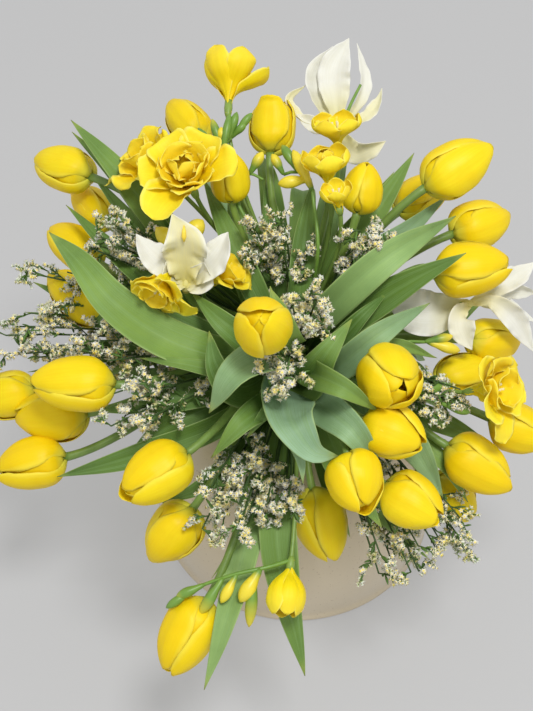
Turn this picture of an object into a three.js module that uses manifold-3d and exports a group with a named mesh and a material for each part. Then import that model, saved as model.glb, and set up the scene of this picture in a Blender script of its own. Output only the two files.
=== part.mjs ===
// A bunch of tulips with freesias, white irises and sea lavender in a round cream vase.
// Millimetres, +Z up, origin at the centre of the vase's flat foot, front towards -Y.
import * as THREE from 'three';
import { mergeVertices } from 'three/addons/utils/BufferGeometryUtils.js';
import Module from 'manifold-3d';

const wasm = await Module();
wasm.setup();

// ---------------------------------------------------------------- driving dimensions
const VASE_HEIGHT = 215;
const VASE_RADIUS = 138;
const FOOT_RADIUS = 132;
const NECK_RADIUS = 42;
const VASE_WALL = 6;
const VASE_FLOOR = 8;
const WATER_LEVEL = 104;
const BUNDLE_RADIUS = 34;
const BUNDLE_TOP = 211;
const BUNDLE_BOTTOM = 150;
const CUT_ENDS = 11;
const STEM_RADIUS = 3.4;
const TULIP_RADIUS = 21.5;
const PETAL_THICKNESS = 1.1;
const LEAF_THICKNESS = 1;
const GAP = 0.35;
const GOLDEN_TURN = 2.4;

// The bunch is laid out as it is seen from the front: x and y are places in a view of
// 533 by 711 points, near is how many mm a place lies nearer to the eye than the neck.
const VIEW = { elevation: 52, distance: 1400, focal: 1556, middle: [266.5, 355.5], neck: [298, 375] };

// ---------------------------------------------------------------- small helpers
const radians = THREE.MathUtils.degToRad;
const UP = new THREE.Vector3(0, 0, 1);
const NECK = new THREE.Vector3(0, 0, VASE_HEIGHT);
const VIEW_UP = new THREE.Vector3(0, Math.sin(radians(VIEW.elevation)), Math.cos(radians(VIEW.elevation)));
const VIEW_NEAR = new THREE.Vector3(0, -VIEW_UP.z, VIEW_UP.y);

function seededRandom(seed) {
  let state = seed;
  return () => {
    state = (state * 16807) % 2147483647;
    return (state - 1) / 2147483646;
  };
}

function place([x, y, near]) {
  const depth = VIEW.distance - near;
  const { middle, neck, distance, focal } = VIEW;
  const across = ((x - middle[0]) * depth - (neck[0] - middle[0]) * distance) / focal;
  const up = ((middle[1] - y) * depth - (middle[1] - neck[1]) * distance) / focal;
  return NECK.clone()
    .add(new THREE.Vector3(across, 0, 0))
    .addScaledVector(VIEW_UP, up)
    .addScaledVector(VIEW_NEAR, near);
}

// Value of a curve given by pairs [t, value], straight between them.
function between(pairs, t) {
  for (let k = 1; k < pairs.length; k += 1) {
    const [t0, v0] = pairs[k - 1];
    const [t1, v1] = pairs[k];
    if (t <= t1) return v0 + ((v1 - v0) * (t - t0)) / (t1 - t0);
  }
  return pairs[pairs.length - 1][1];
}

// ---------------------------------------------------------------- solids
function solidOf(points, faces) {
  const corners = new Float32Array(points.flatMap((p) => [p.x, p.y, p.z]));
  const raw = new THREE.BufferGeometry();
  raw.setAttribute('position', new THREE.BufferAttribute(corners, 3));
  raw.setIndex(faces.flat());
  return solidOfGeometry(raw);
}

function solidOfGeometry(geometry) {
  const bare = geometry.clone();
  bare.deleteAttribute('normal');
  bare.deleteAttribute('uv');
  const merged = mergeVertices(bare, 1e-3);
  const corners = merged.attributes.position.array;
  const index = merged.index.array;
  const triangles = [];
  let volume = 0;
  const [a, b, c] = [new THREE.Vector3(), new THREE.Vector3(), new THREE.Vector3()];
  for (let k = 0; k < index.length; k += 3) {
    const [i, j, l] = [index[k], index[k + 1], index[k + 2]];
    if (i === j || j === l || i === l) continue;
    triangles.push(i, j, l);
    a.fromArray(corners, 3 * i);
    b.fromArray(corners, 3 * j);
    c.fromArray(corners, 3 * l);
    volume += a.dot(b.cross(c));
  }
  if (volume < 0) triangles.reverse();
  return new wasm.Manifold(new wasm.Mesh({
    numProp: 3,
    vertProperties: new Float32Array(corners),
    triVerts: new Uint32Array(triangles),
  }));
}

function rawGeometry(solid) {
  const mesh = solid.getMesh();
  const geometry = new THREE.BufferGeometry();
  geometry.setAttribute('position', new THREE.BufferAttribute(new Float32Array(mesh.vertProperties), 3));
  geometry.setIndex(new THREE.BufferAttribute(new Uint32Array(mesh.triVerts), 1));
  return geometry;
}

function geometryOf(solid) {
  return withoutScraps(mergeVertices(rawGeometry(solid), 1e-3));
}

// Cutting can leave loose scraps: only the body with the most triangles stays.
function withoutScraps(geometry) {
  const index = geometry.index.array;
  const parent = Array.from({ length: geometry.attributes.position.count }, (_, k) => k);
  const rootOf = (k) => {
    let root = k;
    while (parent[root] !== root) {
      parent[root] = parent[parent[root]];
      root = parent[root];
    }
    return root;
  };
  for (let k = 0; k < index.length; k += 3) {
    parent[rootOf(index[k])] = rootOf(index[k + 1]);
    parent[rootOf(index[k + 1])] = rootOf(index[k + 2]);
  }
  const counts = new Map();
  for (let k = 0; k < index.length; k += 3) {
    const root = rootOf(index[k]);
    counts.set(root, (counts.get(root) ?? 0) + 1);
  }
  const largest = [...counts].sort((p, q) => q[1] - p[1])[0][0];
  const kept = [];
  for (let k = 0; k < index.length; k += 3) {
    if (rootOf(index[k]) === largest) kept.push(index[k], index[k + 1], index[k + 2]);
  }
  const clean = new THREE.BufferGeometry();
  clean.setAttribute('position', geometry.attributes.position);
  clean.setIndex(kept);
  return clean;
}

// A curved sheet of even thickness: rows of points, the last row may be a single tip.
function blade(rows, thickness) {
  const at = (i, j) => rows[i][Math.min(j, rows[i].length - 1)];
  const widest = rows[0].length;
  const last = rows.length - 1;
  const normalAt = (i, j) => {
    const row = rows[i].length === 1 ? i - 1 : i;
    const along = at(Math.min(i + 1, last), j).clone().sub(at(Math.max(i - 1, 0), j));
    const across = at(row, Math.min(j + 1, widest - 1)).clone().sub(at(row, Math.max(j - 1, 0)));
    return along.cross(across).normalize();
  };
  const points = [];
  const numbers = rows.map((row, i) => row.map((point, j) => {
    const middle = row.length === 1 ? Math.floor((widest - 1) / 2) : j;
    const normal = normalAt(i, middle);
    points.push(point.clone().addScaledVector(normal, thickness / 2));
    points.push(point.clone().addScaledVector(normal, -thickness / 2));
    return points.length - 2;
  }));
  const number = (i, j) => numbers[i][Math.min(j, numbers[i].length - 1)];
  const front = [];
  for (let i = 0; i < last; i += 1) {
    for (let j = 0; j + 1 < widest; j += 1) {
      const [p, q, r, s] = [number(i, j), number(i, j + 1), number(i + 1, j + 1), number(i + 1, j)];
      const leftHalf = j < (widest - 1) / 2;
      const pair = leftHalf ? [[p, q, r], [p, r, s]] : [[p, q, s], [q, r, s]];
      pair.forEach((t) => {
        if (t[0] !== t[1] && t[1] !== t[2] && t[0] !== t[2]) front.push(t);
      });
    }
  }
  const edges = new Map();
  front.forEach(([p, q, r]) => [[p, q], [q, r], [r, p]].forEach(([s, t]) => edges.set(`${s} ${t}`, [s, t])));
  const faces = [];
  front.forEach(([p, q, r]) => {
    faces.push([p, r, q]);
    faces.push([p + 1, q + 1, r + 1]);
  });
  edges.forEach(([s, t]) => {
    if (edges.has(`${t} ${s}`)) return;
    faces.push([s, t, t + 1]);
    faces.push([s, t + 1, s + 1]);
  });
  return solidOf(points, faces);
}

// A long pointed sheet along a rib through points. Its face looks to facing, then turns
// about the rib, and keel sinks its middle below its edges.
function sheetSolid(points, { width, turn, facing, widths, steps, columns, keel, thickness }, grow) {
  const rib = new THREE.CatmullRomCurve3(points, false, 'centripetal');
  const rows = steps.map((t) => {
    const tangent = rib.getTangentAt(t);
    const middle = rib.getPointAt(t).addScaledVector(tangent, t === 1 ? grow : 0);
    if (t === 1) return [middle];
    const face = facing.clone().addScaledVector(tangent, -facing.dot(tangent)).normalize();
    face.applyAxisAngle(tangent, radians(turn));
    const side = new THREE.Vector3().crossVectors(tangent, face);
    const half = (width * between(widths, t)) / 2;
    return (columns === 2 ? [-1, 1] : [-1, 0, 1]).map((s) => middle.clone()
      .addScaledVector(side, s * (half + grow))
      .addScaledVector(face, s === 0 ? -keel * half : 0));
  });
  return blade(rows, thickness + 2 * grow);
}

// A closed skin over rings of points, each ring as long as the next. Past the ring rim it
// comes back inside and is split the other way, so that a thin wall is alike on both faces.
function skin(rings, rim = rings.length) {
  const width = rings[0].length;
  const faces = [];
  for (let i = 0; i + 1 < rings.length; i += 1) {
    for (let j = 0; j < width; j += 1) {
      const [p, q] = [i * width + j, i * width + ((j + 1) % width)];
      if (i < rim) faces.push([p, q, q + width], [p, q + width, p + width]);
      else faces.push([p, q, p + width], [q, q + width, p + width]);
    }
  }
  return solidOf(rings.flat(), faces);
}

// A round rod of few sides along a curve.
function rod(curve, radius, sides, steps) {
  const section = new THREE.Shape();
  for (let k = 0; k < sides; k += 1) {
    const turn = (k / sides) * 2 * Math.PI;
    const corner = [radius * Math.cos(turn), radius * Math.sin(turn)];
    if (k === 0) section.moveTo(...corner);
    else section.lineTo(...corner);
  }
  section.closePath();
  const geometry = new THREE.ExtrudeGeometry(section, { steps, extrudePath: curve, bevelEnabled: false });
  return solidOfGeometry(geometry);
}

function turned(profile, segments) {
  const points = profile.map(([r, z]) => new THREE.Vector2(r, z));
  return new THREE.LatheGeometry(points, segments).rotateX(Math.PI / 2);
}

// The frame of a bloom: its foot at base, its axis towards tip, turned by roll about it.
function bloomFrame(base, tip, roll) {
  const axis = tip.clone().sub(base).normalize();
  const side = new THREE.Vector3().crossVectors(VIEW_NEAR, axis);
  if (side.length() < 0.2) side.crossVectors(VIEW_UP, axis);
  side.normalize().applyAxisAngle(axis, roll);
  const third = new THREE.Vector3().crossVectors(axis, side);
  return new THREE.Matrix4().makeBasis(side, third, axis).setPosition(base);
}

function joined(solids) {
  return solids.reduce((whole, next) => whole.add(next));
}

function moved(solid, matrix) {
  const geometry = rawGeometry(solid);
  return solidOfGeometry(geometry.applyMatrix4(matrix));
}

function boxOf(solid) {
  return new THREE.Box3().setFromBufferAttribute(rawGeometry(solid).attributes.position);
}

// ---------------------------------------------------------------- materials
const finish = (color, roughness) => new THREE.MeshStandardMaterial({ color, roughness, metalness: 0 });
const CERAMIC = () => finish(0xd9cdb4, 0.35);
const WATER = () => finish(0xcfdde0, 0.1);
const GREEN = () => finish(0x5f8a3c, 0.5);
const TULIP_YELLOW = () => finish(0xf6cf0c, 0.45);
const FREESIA_YELLOW = () => finish(0xf8d23a, 0.5);
const IRIS_WHITE = () => finish(0xf3f1e6, 0.5);
const FLORET_WHITE = () => finish(0xe6e6cf, 0.7);

// ---------------------------------------------------------------- vase
const VASE_OUTSIDE = [
  [0, 0], [FOOT_RADIUS - 6, 0], [FOOT_RADIUS + 1.5, 4], [FOOT_RADIUS, 9],
  [VASE_RADIUS - 2, 40], [VASE_RADIUS, 72], [VASE_RADIUS - 4, 106], [VASE_RADIUS - 19, 142],
  [VASE_RADIUS - 47, 171], [VASE_RADIUS - 78, 186], [NECK_RADIUS + 6, 197],
  [NECK_RADIUS + 9, VASE_HEIGHT - 4], [NECK_RADIUS + 6, VASE_HEIGHT],
];
const VASE_INSIDE = [
  [NECK_RADIUS + 1, VASE_HEIGHT - 2], [NECK_RADIUS, 190], [VASE_RADIUS - 76, 178], [VASE_RADIUS - 48, 163],
  [VASE_RADIUS - 24, 137], [VASE_RADIUS - VASE_WALL - 3, 104], [VASE_RADIUS - VASE_WALL, 72],
  [VASE_RADIUS - VASE_WALL - 3, 40], [FOOT_RADIUS - 14, VASE_FLOOR + 1], [0, VASE_FLOOR],
];
const VASE_SIDES = 26;

function grownVase() {
  const outside = VASE_OUTSIDE.slice(2).map(([r, z]) => [r + GAP * 1.6, z + GAP]);
  const inside = VASE_INSIDE.map(([r, z]) => [Math.max(r - GAP * 1.6, 0), z + GAP]);
  return solidOfGeometry(turned([[0, -1], [FOOT_RADIUS, -1], ...outside, ...inside], VASE_SIDES));
}

function vase() {
  const mesh = new THREE.Mesh(turned([...VASE_OUTSIDE, ...VASE_INSIDE], VASE_SIDES), CERAMIC());
  mesh.name = 'vase';
  return mesh;
}

// Water fills the foot of the vase round one plain hole for the stems.
function water() {
  const hole = BUNDLE_RADIUS + 14;
  const wall = (r) => r - GAP;
  const profile = [
    [hole, VASE_FLOOR + 1.4], [wall(FOOT_RADIUS - 14), VASE_FLOOR + 1.4],
    [wall(VASE_RADIUS - VASE_WALL - 3), 40],
    [wall(VASE_RADIUS - VASE_WALL), 72], [wall(VASE_RADIUS - VASE_WALL - 3), WATER_LEVEL],
    [hole, WATER_LEVEL], [hole, VASE_FLOOR + 1.4],
  ];
  const mesh = new THREE.Mesh(turned(profile, VASE_SIDES), WATER());
  mesh.name = 'water';
  return mesh;
}

// ---------------------------------------------------------------- tulips
// base and tip as seen, near: of the base, rise: how much nearer the tip is, open: 0 shut to
// 1, girth: how wide the head is beside TULIP_RADIUS, 1 where it isn't given.
const TULIPS = [
  { base: [91, 177], tip: [35, 160], near: 60, rise: -30, open: 0, girth: 0.88 },
  { base: [108, 223], tip: [80, 192], near: 40, rise: -40, open: 0.3, girth: 0.7 },
  { base: [99, 263], tip: [50, 228], near: 40, rise: -30, open: 0, girth: 0.82 },
  { base: [106, 318], tip: [50, 274], near: 75, rise: -20, open: 0, girth: 0.88 },
  { base: [115, 385], tip: [32, 384], near: 140, rise: 0, open: 0 },
  { base: [88, 413], tip: [17, 419], near: 85, rise: -15, open: 0 },
  { base: [66, 457], tip: [-4, 471], near: 80, rise: 0, open: 0 },
  { base: [36, 390], tip: [-30, 402], near: 60, rise: -10, open: 0, girth: 0.92 },
  { base: [187, 453], tip: [123, 496], near: 165, rise: 15, open: 0.1 },
  { base: [193, 508], tip: [151, 559], near: 125, rise: -15, open: 0 },
  { base: [208, 600], tip: [165, 673], near: 140, rise: 0, open: 0 },
  { base: [266, 338], tip: [261, 322], near: 225, rise: 60, open: 0.1, girth: 1.08 },
  { base: [378, 364], tip: [404, 392], near: 165, rise: 50, open: 0.35, girth: 1.08 },
  { base: [364, 420], tip: [424, 446], near: 165, rise: 20, open: 0 },
  { base: [348, 455], tip: [364, 510], near: 185, rise: 25, open: 0 },
  { base: [385, 485], tip: [441, 521], near: 140, rise: 15, open: 0.1 },
  { base: [312, 488], tip: [331, 560], near: 90, rise: -10, open: 0 },
  { base: [425, 188], tip: [490, 145], near: 120, rise: 0, open: 0 },
  { base: [398, 212], tip: [446, 178], near: 50, rise: -20, open: 0, girth: 0.82 },
  { base: [452, 234], tip: [508, 214], near: 95, rise: -20, open: 0, girth: 0.92 },
  { base: [434, 275], tip: [512, 262], near: 135, rise: 0, open: 0.1 },
  { base: [470, 340], tip: [517, 340], near: 90, rise: -35, open: 0, girth: 0.82 },
  { base: [436, 382], tip: [492, 366], near: 95, rise: -20, open: 0, girth: 0.8 },
  { base: [447, 446], tip: [511, 484], near: 110, rise: 0, open: 0 },
  { base: [436, 478], tip: [473, 518], near: 70, rise: -25, open: 0, girth: 0.84 },
  { base: [490, 418], tip: [548, 440], near: 85, rise: 0, open: 0, girth: 0.94 },
  { base: [203, 140], tip: [171, 103], near: 60, rise: -30, open: 0, girth: 0.78 },
  { base: [232, 201], tip: [226, 153], near: 110, rise: 20, open: 0.2, girth: 0.68 },
  { base: [270, 153], tip: [276, 96], near: 85, rise: -20, open: 0.3, girth: 0.84 },
  { base: [357, 213], tip: [367, 164], near: 120, rise: 10, open: 0, girth: 0.74 },
];

const TULIP_PROFILE = [[0, 0.16], [0.06, 0.5], [0.3, 0.96], [0.5, 1], [0.72, 0.88], [0.86, 0.66], [1, 0.24]];

function tulipRadius(t, { open, girth = 1 }) {
  return TULIP_RADIUS * girth * between(TULIP_PROFILE, t) * (1 + 0.35 * open * t * t);
}

// Three outer petals overlap a heart of three inner ones: five columns to each third of the
// head, three on an outer petal and two in the groove where an inner petal shows.
function tulipSolid(length, tulip) {
  const point = (t, radius, angle) => new THREE.Vector3(
    radius * Math.cos(radians(angle)), radius * Math.sin(radians(angle)), t * length);
  const ring = (t, half) => [0, 120, 240].flatMap((turn) => {
    const outer = tulipRadius(t, tulip);
    const inner = outer - 2.4 * Math.min(1, 4 * t);
    return [
      point(t, outer * 0.97, turn - half), point(t, outer, turn), point(t, outer * 0.97, turn + half),
      point(t, inner, turn + half + 2), point(t, inner, turn + 118 - half),
    ];
  });
  const tips = [0, 120, 240].flatMap((turn) => {
    const outer = point(1, tulipRadius(1, tulip) * 1.3, turn);
    const inner = point(0.97, tulipRadius(1, tulip) * 0.8, turn + 60);
    return [outer, outer, outer, inner, inner];
  });
  const end = (t) => Array(15).fill(point(t, 0, 0));
  return skin([end(0), ring(0.04, 40), ring(0.33, 50), ring(0.74, 47), tips, end(0.86)]);
}

function tulipEnvelope(length, tulip) {
  const margin = GAP + 0.6;
  const rings = [0, 0.04, 0.33, 0.74, 1].map((t) => [tulipRadius(t, tulip) * 1.04 + margin, t * length]);
  const top = length + GAP;
  const profile = [[0, -GAP], [rings[0][0], -GAP], ...rings.slice(1, -1), [rings[4][0] * 1.3, top], [0, top]];
  return solidOfGeometry(turned(profile, 9));
}

// ---------------------------------------------------------------- freesias
// base: foot of the tube, tip: middle of the open mouth, flare: mouth radius in mm.
const FREESIAS = [
  { base: [228, 114], tip: [231, 60], near: 85, rise: -20, flare: 24, form: 'cup' },
  { base: [196, 196], tip: [182, 162], near: 130, rise: 38, flare: 33, form: 'wide' },
  { base: [170, 182], tip: [136, 152], near: 100, rise: 20, flare: 27, form: 'wide' },
  { base: [338, 152], tip: [334, 122], near: 110, rise: 12, flare: 19, form: 'cup' },
  { base: [330, 190], tip: [324, 152], near: 140, rise: 14, flare: 20, form: 'cup' },
  { base: [340, 212], tip: [335, 186], near: 155, rise: 14, flare: 12, form: 'cup' },
  { base: [174, 262], tip: [154, 296], near: 120, rise: 12, flare: 19, form: 'wide' },
  { base: [204, 262], tip: [226, 276], near: 130, rise: 14, flare: 20, form: 'wide' },
  { base: [291, 560], tip: [285, 606], near: 150, rise: 10, flare: 16, form: 'cup' },
  { base: [478, 376], tip: [500, 390], near: 135, rise: 34, flare: 32, form: 'wide' },
];
// Up the bloom from its tube: share of the length, radius at a petal's middle and between
// two petals, both as shares of the flare, and how much lower the bloom is between them.
const FREESIA_FORMS = {
  cup: [[0.5, 0.3, 0.27, 0], [0.66, 0.84, 0.74, 0], [0.84, 1, 0.84, 0], [1.02, 0.86, 0.82, 0.14]],
  wide: [[0.54, 0.24, 0.2, 0], [0.74, 0.68, 0.5, 0], [0.9, 1, 0.62, 0], [0.97, 1.14, 0.68, 0.03]],
};

// Six petals on a slim tube, three a little outside and below the other three. The inner face
// is the outer one again, lifted, and in a cup drawn in too.
function freesiaSolid(length, flare, form, grow) {
  const ring = ([height, middle, dip, notch], inward, lift) => Array.from({ length: 12 }, (_, k) => {
    const angle = (k * Math.PI) / 6;
    const inner = k % 4 === 0 ? 1 : 0;
    const radius = Math.max((k % 2 ? dip : middle) * flare - inward, 1) * (1 - 0.08 * inner) + grow;
    const drop = k % 2 ? notch * length : 0;
    const rise = inner && height > 0.6 ? 2 : 0;
    const level = height * length - drop + rise + lift;
    return new THREE.Vector3(radius * Math.cos(angle), radius * Math.sin(angle), level);
  });
  const end = (level) => Array(12).fill(new THREE.Vector3(0, 0, level));
  const wall = PETAL_THICKNESS + 0.4;
  const forms = FREESIA_FORMS[form];
  const outside = forms.map((at) => ring(at, 0, 0));
  const inside = forms.slice(1).reverse().map((at) => ring(at, form === 'cup' ? wall : 0, wall + grow));
  return skin([end(-grow), ...outside, ...inside, end(0.62 * length + grow)], outside.length);
}

// ---------------------------------------------------------------- irises
// foot of the bloom, then its petals: uprights, falls and narrow crests. Each path goes on
// from the foot through places as seen, width is in mm, turn in degrees from the eye.
const IRISES = [
  {
    base: [338, 132], tip: [340, 60], near: 62, rise: -6,
    petals: [
      { path: [[326, 98, 62], [324, 72, 58], [334, 46, 50]], width: 26, turn: 15 },
      { path: [[342, 98, 58], [345, 70, 56], [349, 38, 48]], width: 24, turn: -20 },
      { path: [[360, 102, 56], [364, 76, 54], [359, 43, 46]], width: 15, turn: 30 },
      { path: [[302, 118, 68], [290, 100, 64], [306, 85, 54]], width: 10, turn: 50 },
      { path: [[318, 126, 72], [296, 114, 70]], width: 14, turn: 0 },
      { path: [[362, 118, 60], [376, 104, 56], [382, 88, 50]], width: 12, turn: -20 },
      { path: [[356, 154, 80], [370, 151, 82], [386, 141, 76]], width: 20, turn: 20 },
    ],
  },
  {
    base: [186, 288], tip: [182, 226], near: 146, rise: 40,
    petals: [
      { path: [[184, 262, 172], [183, 240, 186], [172, 214, 186]], width: 36, turn: 0 },
      { path: [[164, 264, 166], [150, 250, 168], [136, 234, 160]], width: 24, turn: 15 },
      { path: [[204, 264, 168], [214, 252, 172], [228, 232, 162]], width: 30, turn: -15 },
      { path: [[174, 280, 160], [166, 262, 168]], width: 20, turn: 30 },
      { path: [[198, 280, 160], [204, 262, 168]], width: 24, turn: -25 },
    ],
  },
  {
    base: [466, 304], tip: [512, 300], near: 106, rise: 10,
    petals: [
      { path: [[492, 302, 118], [514, 318, 112], [534, 352, 92]], width: 20, turn: 10 },
      { path: [[461, 316, 122], [463, 332, 124], [472, 350, 118]], width: 22, turn: -10 },
      { path: [[498, 286, 104], [516, 276, 98], [536, 262, 82]], width: 20, turn: -15 },
      { path: [[502, 294, 98], [520, 292, 92], [538, 294, 78]], width: 15, turn: 20 },
      { path: [[500, 304, 92], [518, 312, 86], [536, 322, 76]], width: 14, turn: -20 },
      { path: [[440, 312, 112], [418, 312, 112], [388, 306, 100]], width: 40, turn: 5 },
    ],
  },
];
const IRIS_WIDTHS = [[0, 0.14], [0.42, 0.84], [0.6, 1], [0.8, 0.86], [1, 0]];
const IRIS_STEPS = [0, 0.42, 0.8, 1];
const BROAD_PETAL = 16;

function irisSolid({ petals }, foot, axis, grow) {
  const heel = foot.clone().addScaledVector(axis, -2 - grow);
  const crown = foot.clone().addScaledVector(axis, 9 + grow);
  const knob = rod(new THREE.LineCurve3(heel, crown), 4 + grow, 6, 1);
  const sheets = petals.map(({ path, width, turn }) => {
    const points = [foot.clone().addScaledVector(axis, 3), ...path.map(place)];
    return sheetSolid(points, { width, turn, facing: VIEW_NEAR, widths: IRIS_WIDTHS, steps: IRIS_STEPS,
      columns: width < BROAD_PETAL ? 2 : 3, keel: 0.3, thickness: PETAL_THICKNESS }, grow);
  });
  return joined([knob, ...sheets]);
}

// ---------------------------------------------------------------- stems
// The heart of the bunch, where stalks and leaf feet are packed over the vase's lip.
// A stalk starts inside it, at depthAcross and depthUp of its half widths.
const HEART = { middle: new THREE.Vector3(0, 0, 246), across: 66, up: 38, depthAcross: 0.82, depthUp: 0.7 };
const FAN_FROM = new THREE.Vector3(0, 0, 200);

// Where a stalk or leaf on its way to target leaves the heart, a little inside it.
function heartPoint(target) {
  const way = target.clone().sub(HEART.middle);
  way.z = Math.max(way.z, -0.1 * Math.hypot(way.x, way.y));
  const flat = Math.hypot(way.x, way.y) / (HEART.depthAcross * HEART.across);
  return way.multiplyScalar(1 / Math.hypot(flat, way.z / (HEART.depthUp * HEART.up))).add(HEART.middle);
}

function stemCurve(base, axis) {
  const start = heartPoint(base);
  const outward = start.clone().sub(FAN_FROM).normalize();
  const reach = base.distanceTo(start);
  return new THREE.CubicBezierCurve3(
    start,
    start.clone().addScaledVector(outward, reach * 0.35),
    base.clone().addScaledVector(axis, -reach * 0.32),
    base.clone().addScaledVector(axis, 3),
  );
}

// The cut ends fan out in the water below the packed neck of the bunch: one in four stands on
// the vase's floor, the others are cut shorter.
function cutEnd(k) {
  const turn = k * GOLDEN_TURN;
  const spread = 8 + 30 * Math.sqrt(k / CUT_ENDS);
  const foot = (reach, height) => new THREE.Vector3(reach * Math.cos(turn), reach * Math.sin(turn), height);
  const from = foot(0.55 * spread, BUNDLE_BOTTOM + 6);
  const line = new THREE.LineCurve3(from, foot(spread, VASE_FLOOR - 1 + 5 * (k % 4)));
  return rod(line, STEM_RADIUS, 5, 1);
}

// ---------------------------------------------------------------- leaves
// path: places along the middle rib from the bunch's neck to the tip, width in mm,
// turn: degrees by which the face is turned from the eye about the rib.
const LEAVES = [
  { path: [[170, 232, 90], [120, 172, 105], [71, 120, 70]], width: 27, turn: 20 },
  { path: [[185, 262, 80], [130, 190, 85], [72, 132, 45]], width: 22, turn: -20 },
  { path: [[160, 250, 90], [91, 173, 60]], width: 18, turn: 10 },
  { path: [[150, 280, 100], [66, 205, 50]], width: 20, turn: 25 },
  { path: [[212, 352, 165], [130, 292, 175], [49, 232, 110]], width: 37, turn: 15 },
  { path: [[170, 345, 110], [33, 282, 50]], width: 22, turn: -15 },
  { path: [[262, 356, 200], [232, 374, 225], [209, 413, 190]], width: 32, turn: 35 },
  { path: [[240, 385, 150], [215, 362, 185], [209, 331, 175]], width: 22, turn: -25 },
  { path: [[225, 370, 150], [180, 363, 165], [140, 358, 140]], width: 15, turn: 30 },
  { path: [[286, 345, 150], [276, 312, 200], [270, 286, 200]], width: 24, turn: 0 },
  { path: [[304, 385, 150], [326, 354, 195], [352, 319, 185]], width: 32, turn: -10 },
  { path: [[312, 374, 180], [343, 388, 210], [379, 412, 180]], width: 25, turn: 20 },
  { path: [[290, 398, 180], [302, 428, 225], [312, 464, 200]], width: 46, turn: -10 },
  { path: [[318, 402, 160], [352, 430, 195], [382, 474, 165]], width: 30, turn: 10 },
  { path: [[332, 372, 150], [378, 336, 185], [430, 303, 150]], width: 25, turn: 20 },
  { path: [[330, 350, 130], [362, 316, 155], [388, 292, 140]], width: 18, turn: -20 },
  { path: [[340, 372, 120], [392, 346, 150], [437, 358, 120]], width: 16, turn: 10 },
  { path: [[318, 322, 130], [382, 262, 165], [456, 216, 125]], width: 31, turn: 12 },
  { path: [[328, 335, 105], [402, 288, 125], [466, 253, 100]], width: 26, turn: -15 },
  { path: [[350, 272, 95], [408, 230, 105], [447, 196, 90]], width: 21, turn: 10 },
  { path: [[345, 262, 85], [385, 198, 90], [414, 153, 65]], width: 22, turn: -10 },
  { path: [[332, 255, 70], [366, 212, 75], [394, 172, 60]], width: 16, turn: 15 },
  { path: [[300, 300, 105], [305, 235, 105], [312, 182, 85]], width: 22, turn: 10 },
  { path: [[275, 300, 95], [272, 230, 95], [266, 178, 70]], width: 24, turn: -15 },
  { path: [[262, 305, 110], [228, 232, 115], [203, 178, 85]], width: 22, turn: 15 },
  { path: [[250, 300, 80], [236, 220, 85], [231, 172, 60]], width: 18, turn: -10 },
  { path: [[262, 350, 145], [226, 325, 160], [193, 293, 140]], width: 20, turn: -20 },
  { path: [[268, 402, 150], [240, 424, 180], [211, 458, 160]], width: 25, turn: 20 },
  { path: [[280, 400, 150], [264, 415, 175], [247, 438, 165]], width: 18, turn: -15 },
  { path: [[220, 425, 120], [140, 455, 130], [57, 477, 95]], width: 22, turn: -10 },
  { path: [[240, 450, 110], [205, 484, 125], [162, 503, 105]], width: 18, turn: 10 },
  { path: [[272, 425, 110], [252, 505, 165], [236, 580, 185], [204, 690, 150]], width: 22, turn: 15 },
  { path: [[282, 425, 95], [277, 500, 130], [281, 565, 145], [305, 676, 110]], width: 26, turn: -10 },
  { path: [[320, 420, 120], [346, 475, 160], [382, 528, 145]], width: 30, turn: 25 },
  { path: [[330, 425, 90], [370, 498, 115], [411, 545, 95]], width: 22, turn: 0 },
  { path: [[318, 445, 60], [335, 500, 80], [350, 537, 60]], width: 15, turn: 0 },
  { path: [[365, 405, 110], [408, 440, 135], [443, 497, 105]], width: 30, turn: 20 },
  { path: [[380, 415, 80], [440, 458, 105], [468, 502, 85]], width: 17, turn: -10 },
  { path: [[380, 400, 60], [440, 422, 80], [497, 449, 65]], width: 20, turn: 0 },
  { path: [[180, 300, 60], [110, 280, 45], [60, 250, 0]], width: 22, turn: 0 },
  { path: [[380, 330, 60], [430, 330, 60], [480, 305, 20]], width: 22, turn: 0 },
];

// Leaves behind, which the front view hides: compass angle, reach and rise of the tip in mm.
const BACK_LEAVES = [
  { angle: 60, reach: 190, rise: 60, width: 26 }, { angle: 88, reach: 205, rise: 20, width: 24 },
  { angle: 118, reach: 195, rise: 70, width: 28 }, { angle: 150, reach: 190, rise: 10, width: 24 },
  { angle: 30, reach: 180, rise: 15, width: 24 }, { angle: 103, reach: 165, rise: 120, width: 22 },
  { angle: 74, reach: 160, rise: 130, width: 22 }, { angle: 8, reach: 175, rise: -10, width: 24 },
  { angle: 172, reach: 180, rise: -15, width: 26 }, { angle: 45, reach: 130, rise: -20, width: 36 },
  { angle: 88, reach: 125, rise: -25, width: 38 }, { angle: 130, reach: 135, rise: -20, width: 36 },
  { angle: 188, reach: 130, rise: -25, width: 32 }, { angle: 352, reach: 130, rise: -25, width: 32 },
  { angle: 18, reach: 125, rise: -28, width: 34 }, { angle: 162, reach: 125, rise: -28, width: 34 },
];

const BROAD_LEAF = 21;
const LONG_LEAF = 26;
const LEAF_WIDTHS = [[0, 0.26], [0.3, 0.86], [0.55, 1], [0.8, 0.6], [1, 0]];

function leafSolid(points, width, turn, facing, grow) {
  const steps = width < LONG_LEAF ? [0, 0.4, 0.75, 1] : [0, 0.3, 0.55, 0.8, 1];
  const form = { width, turn, facing, widths: LEAF_WIDTHS, steps,
    columns: width < BROAD_LEAF ? 2 : 3, keel: 0.28, thickness: LEAF_THICKNESS };
  return sheetSolid([heartPoint(points[0]), ...points], form, grow);
}

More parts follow.
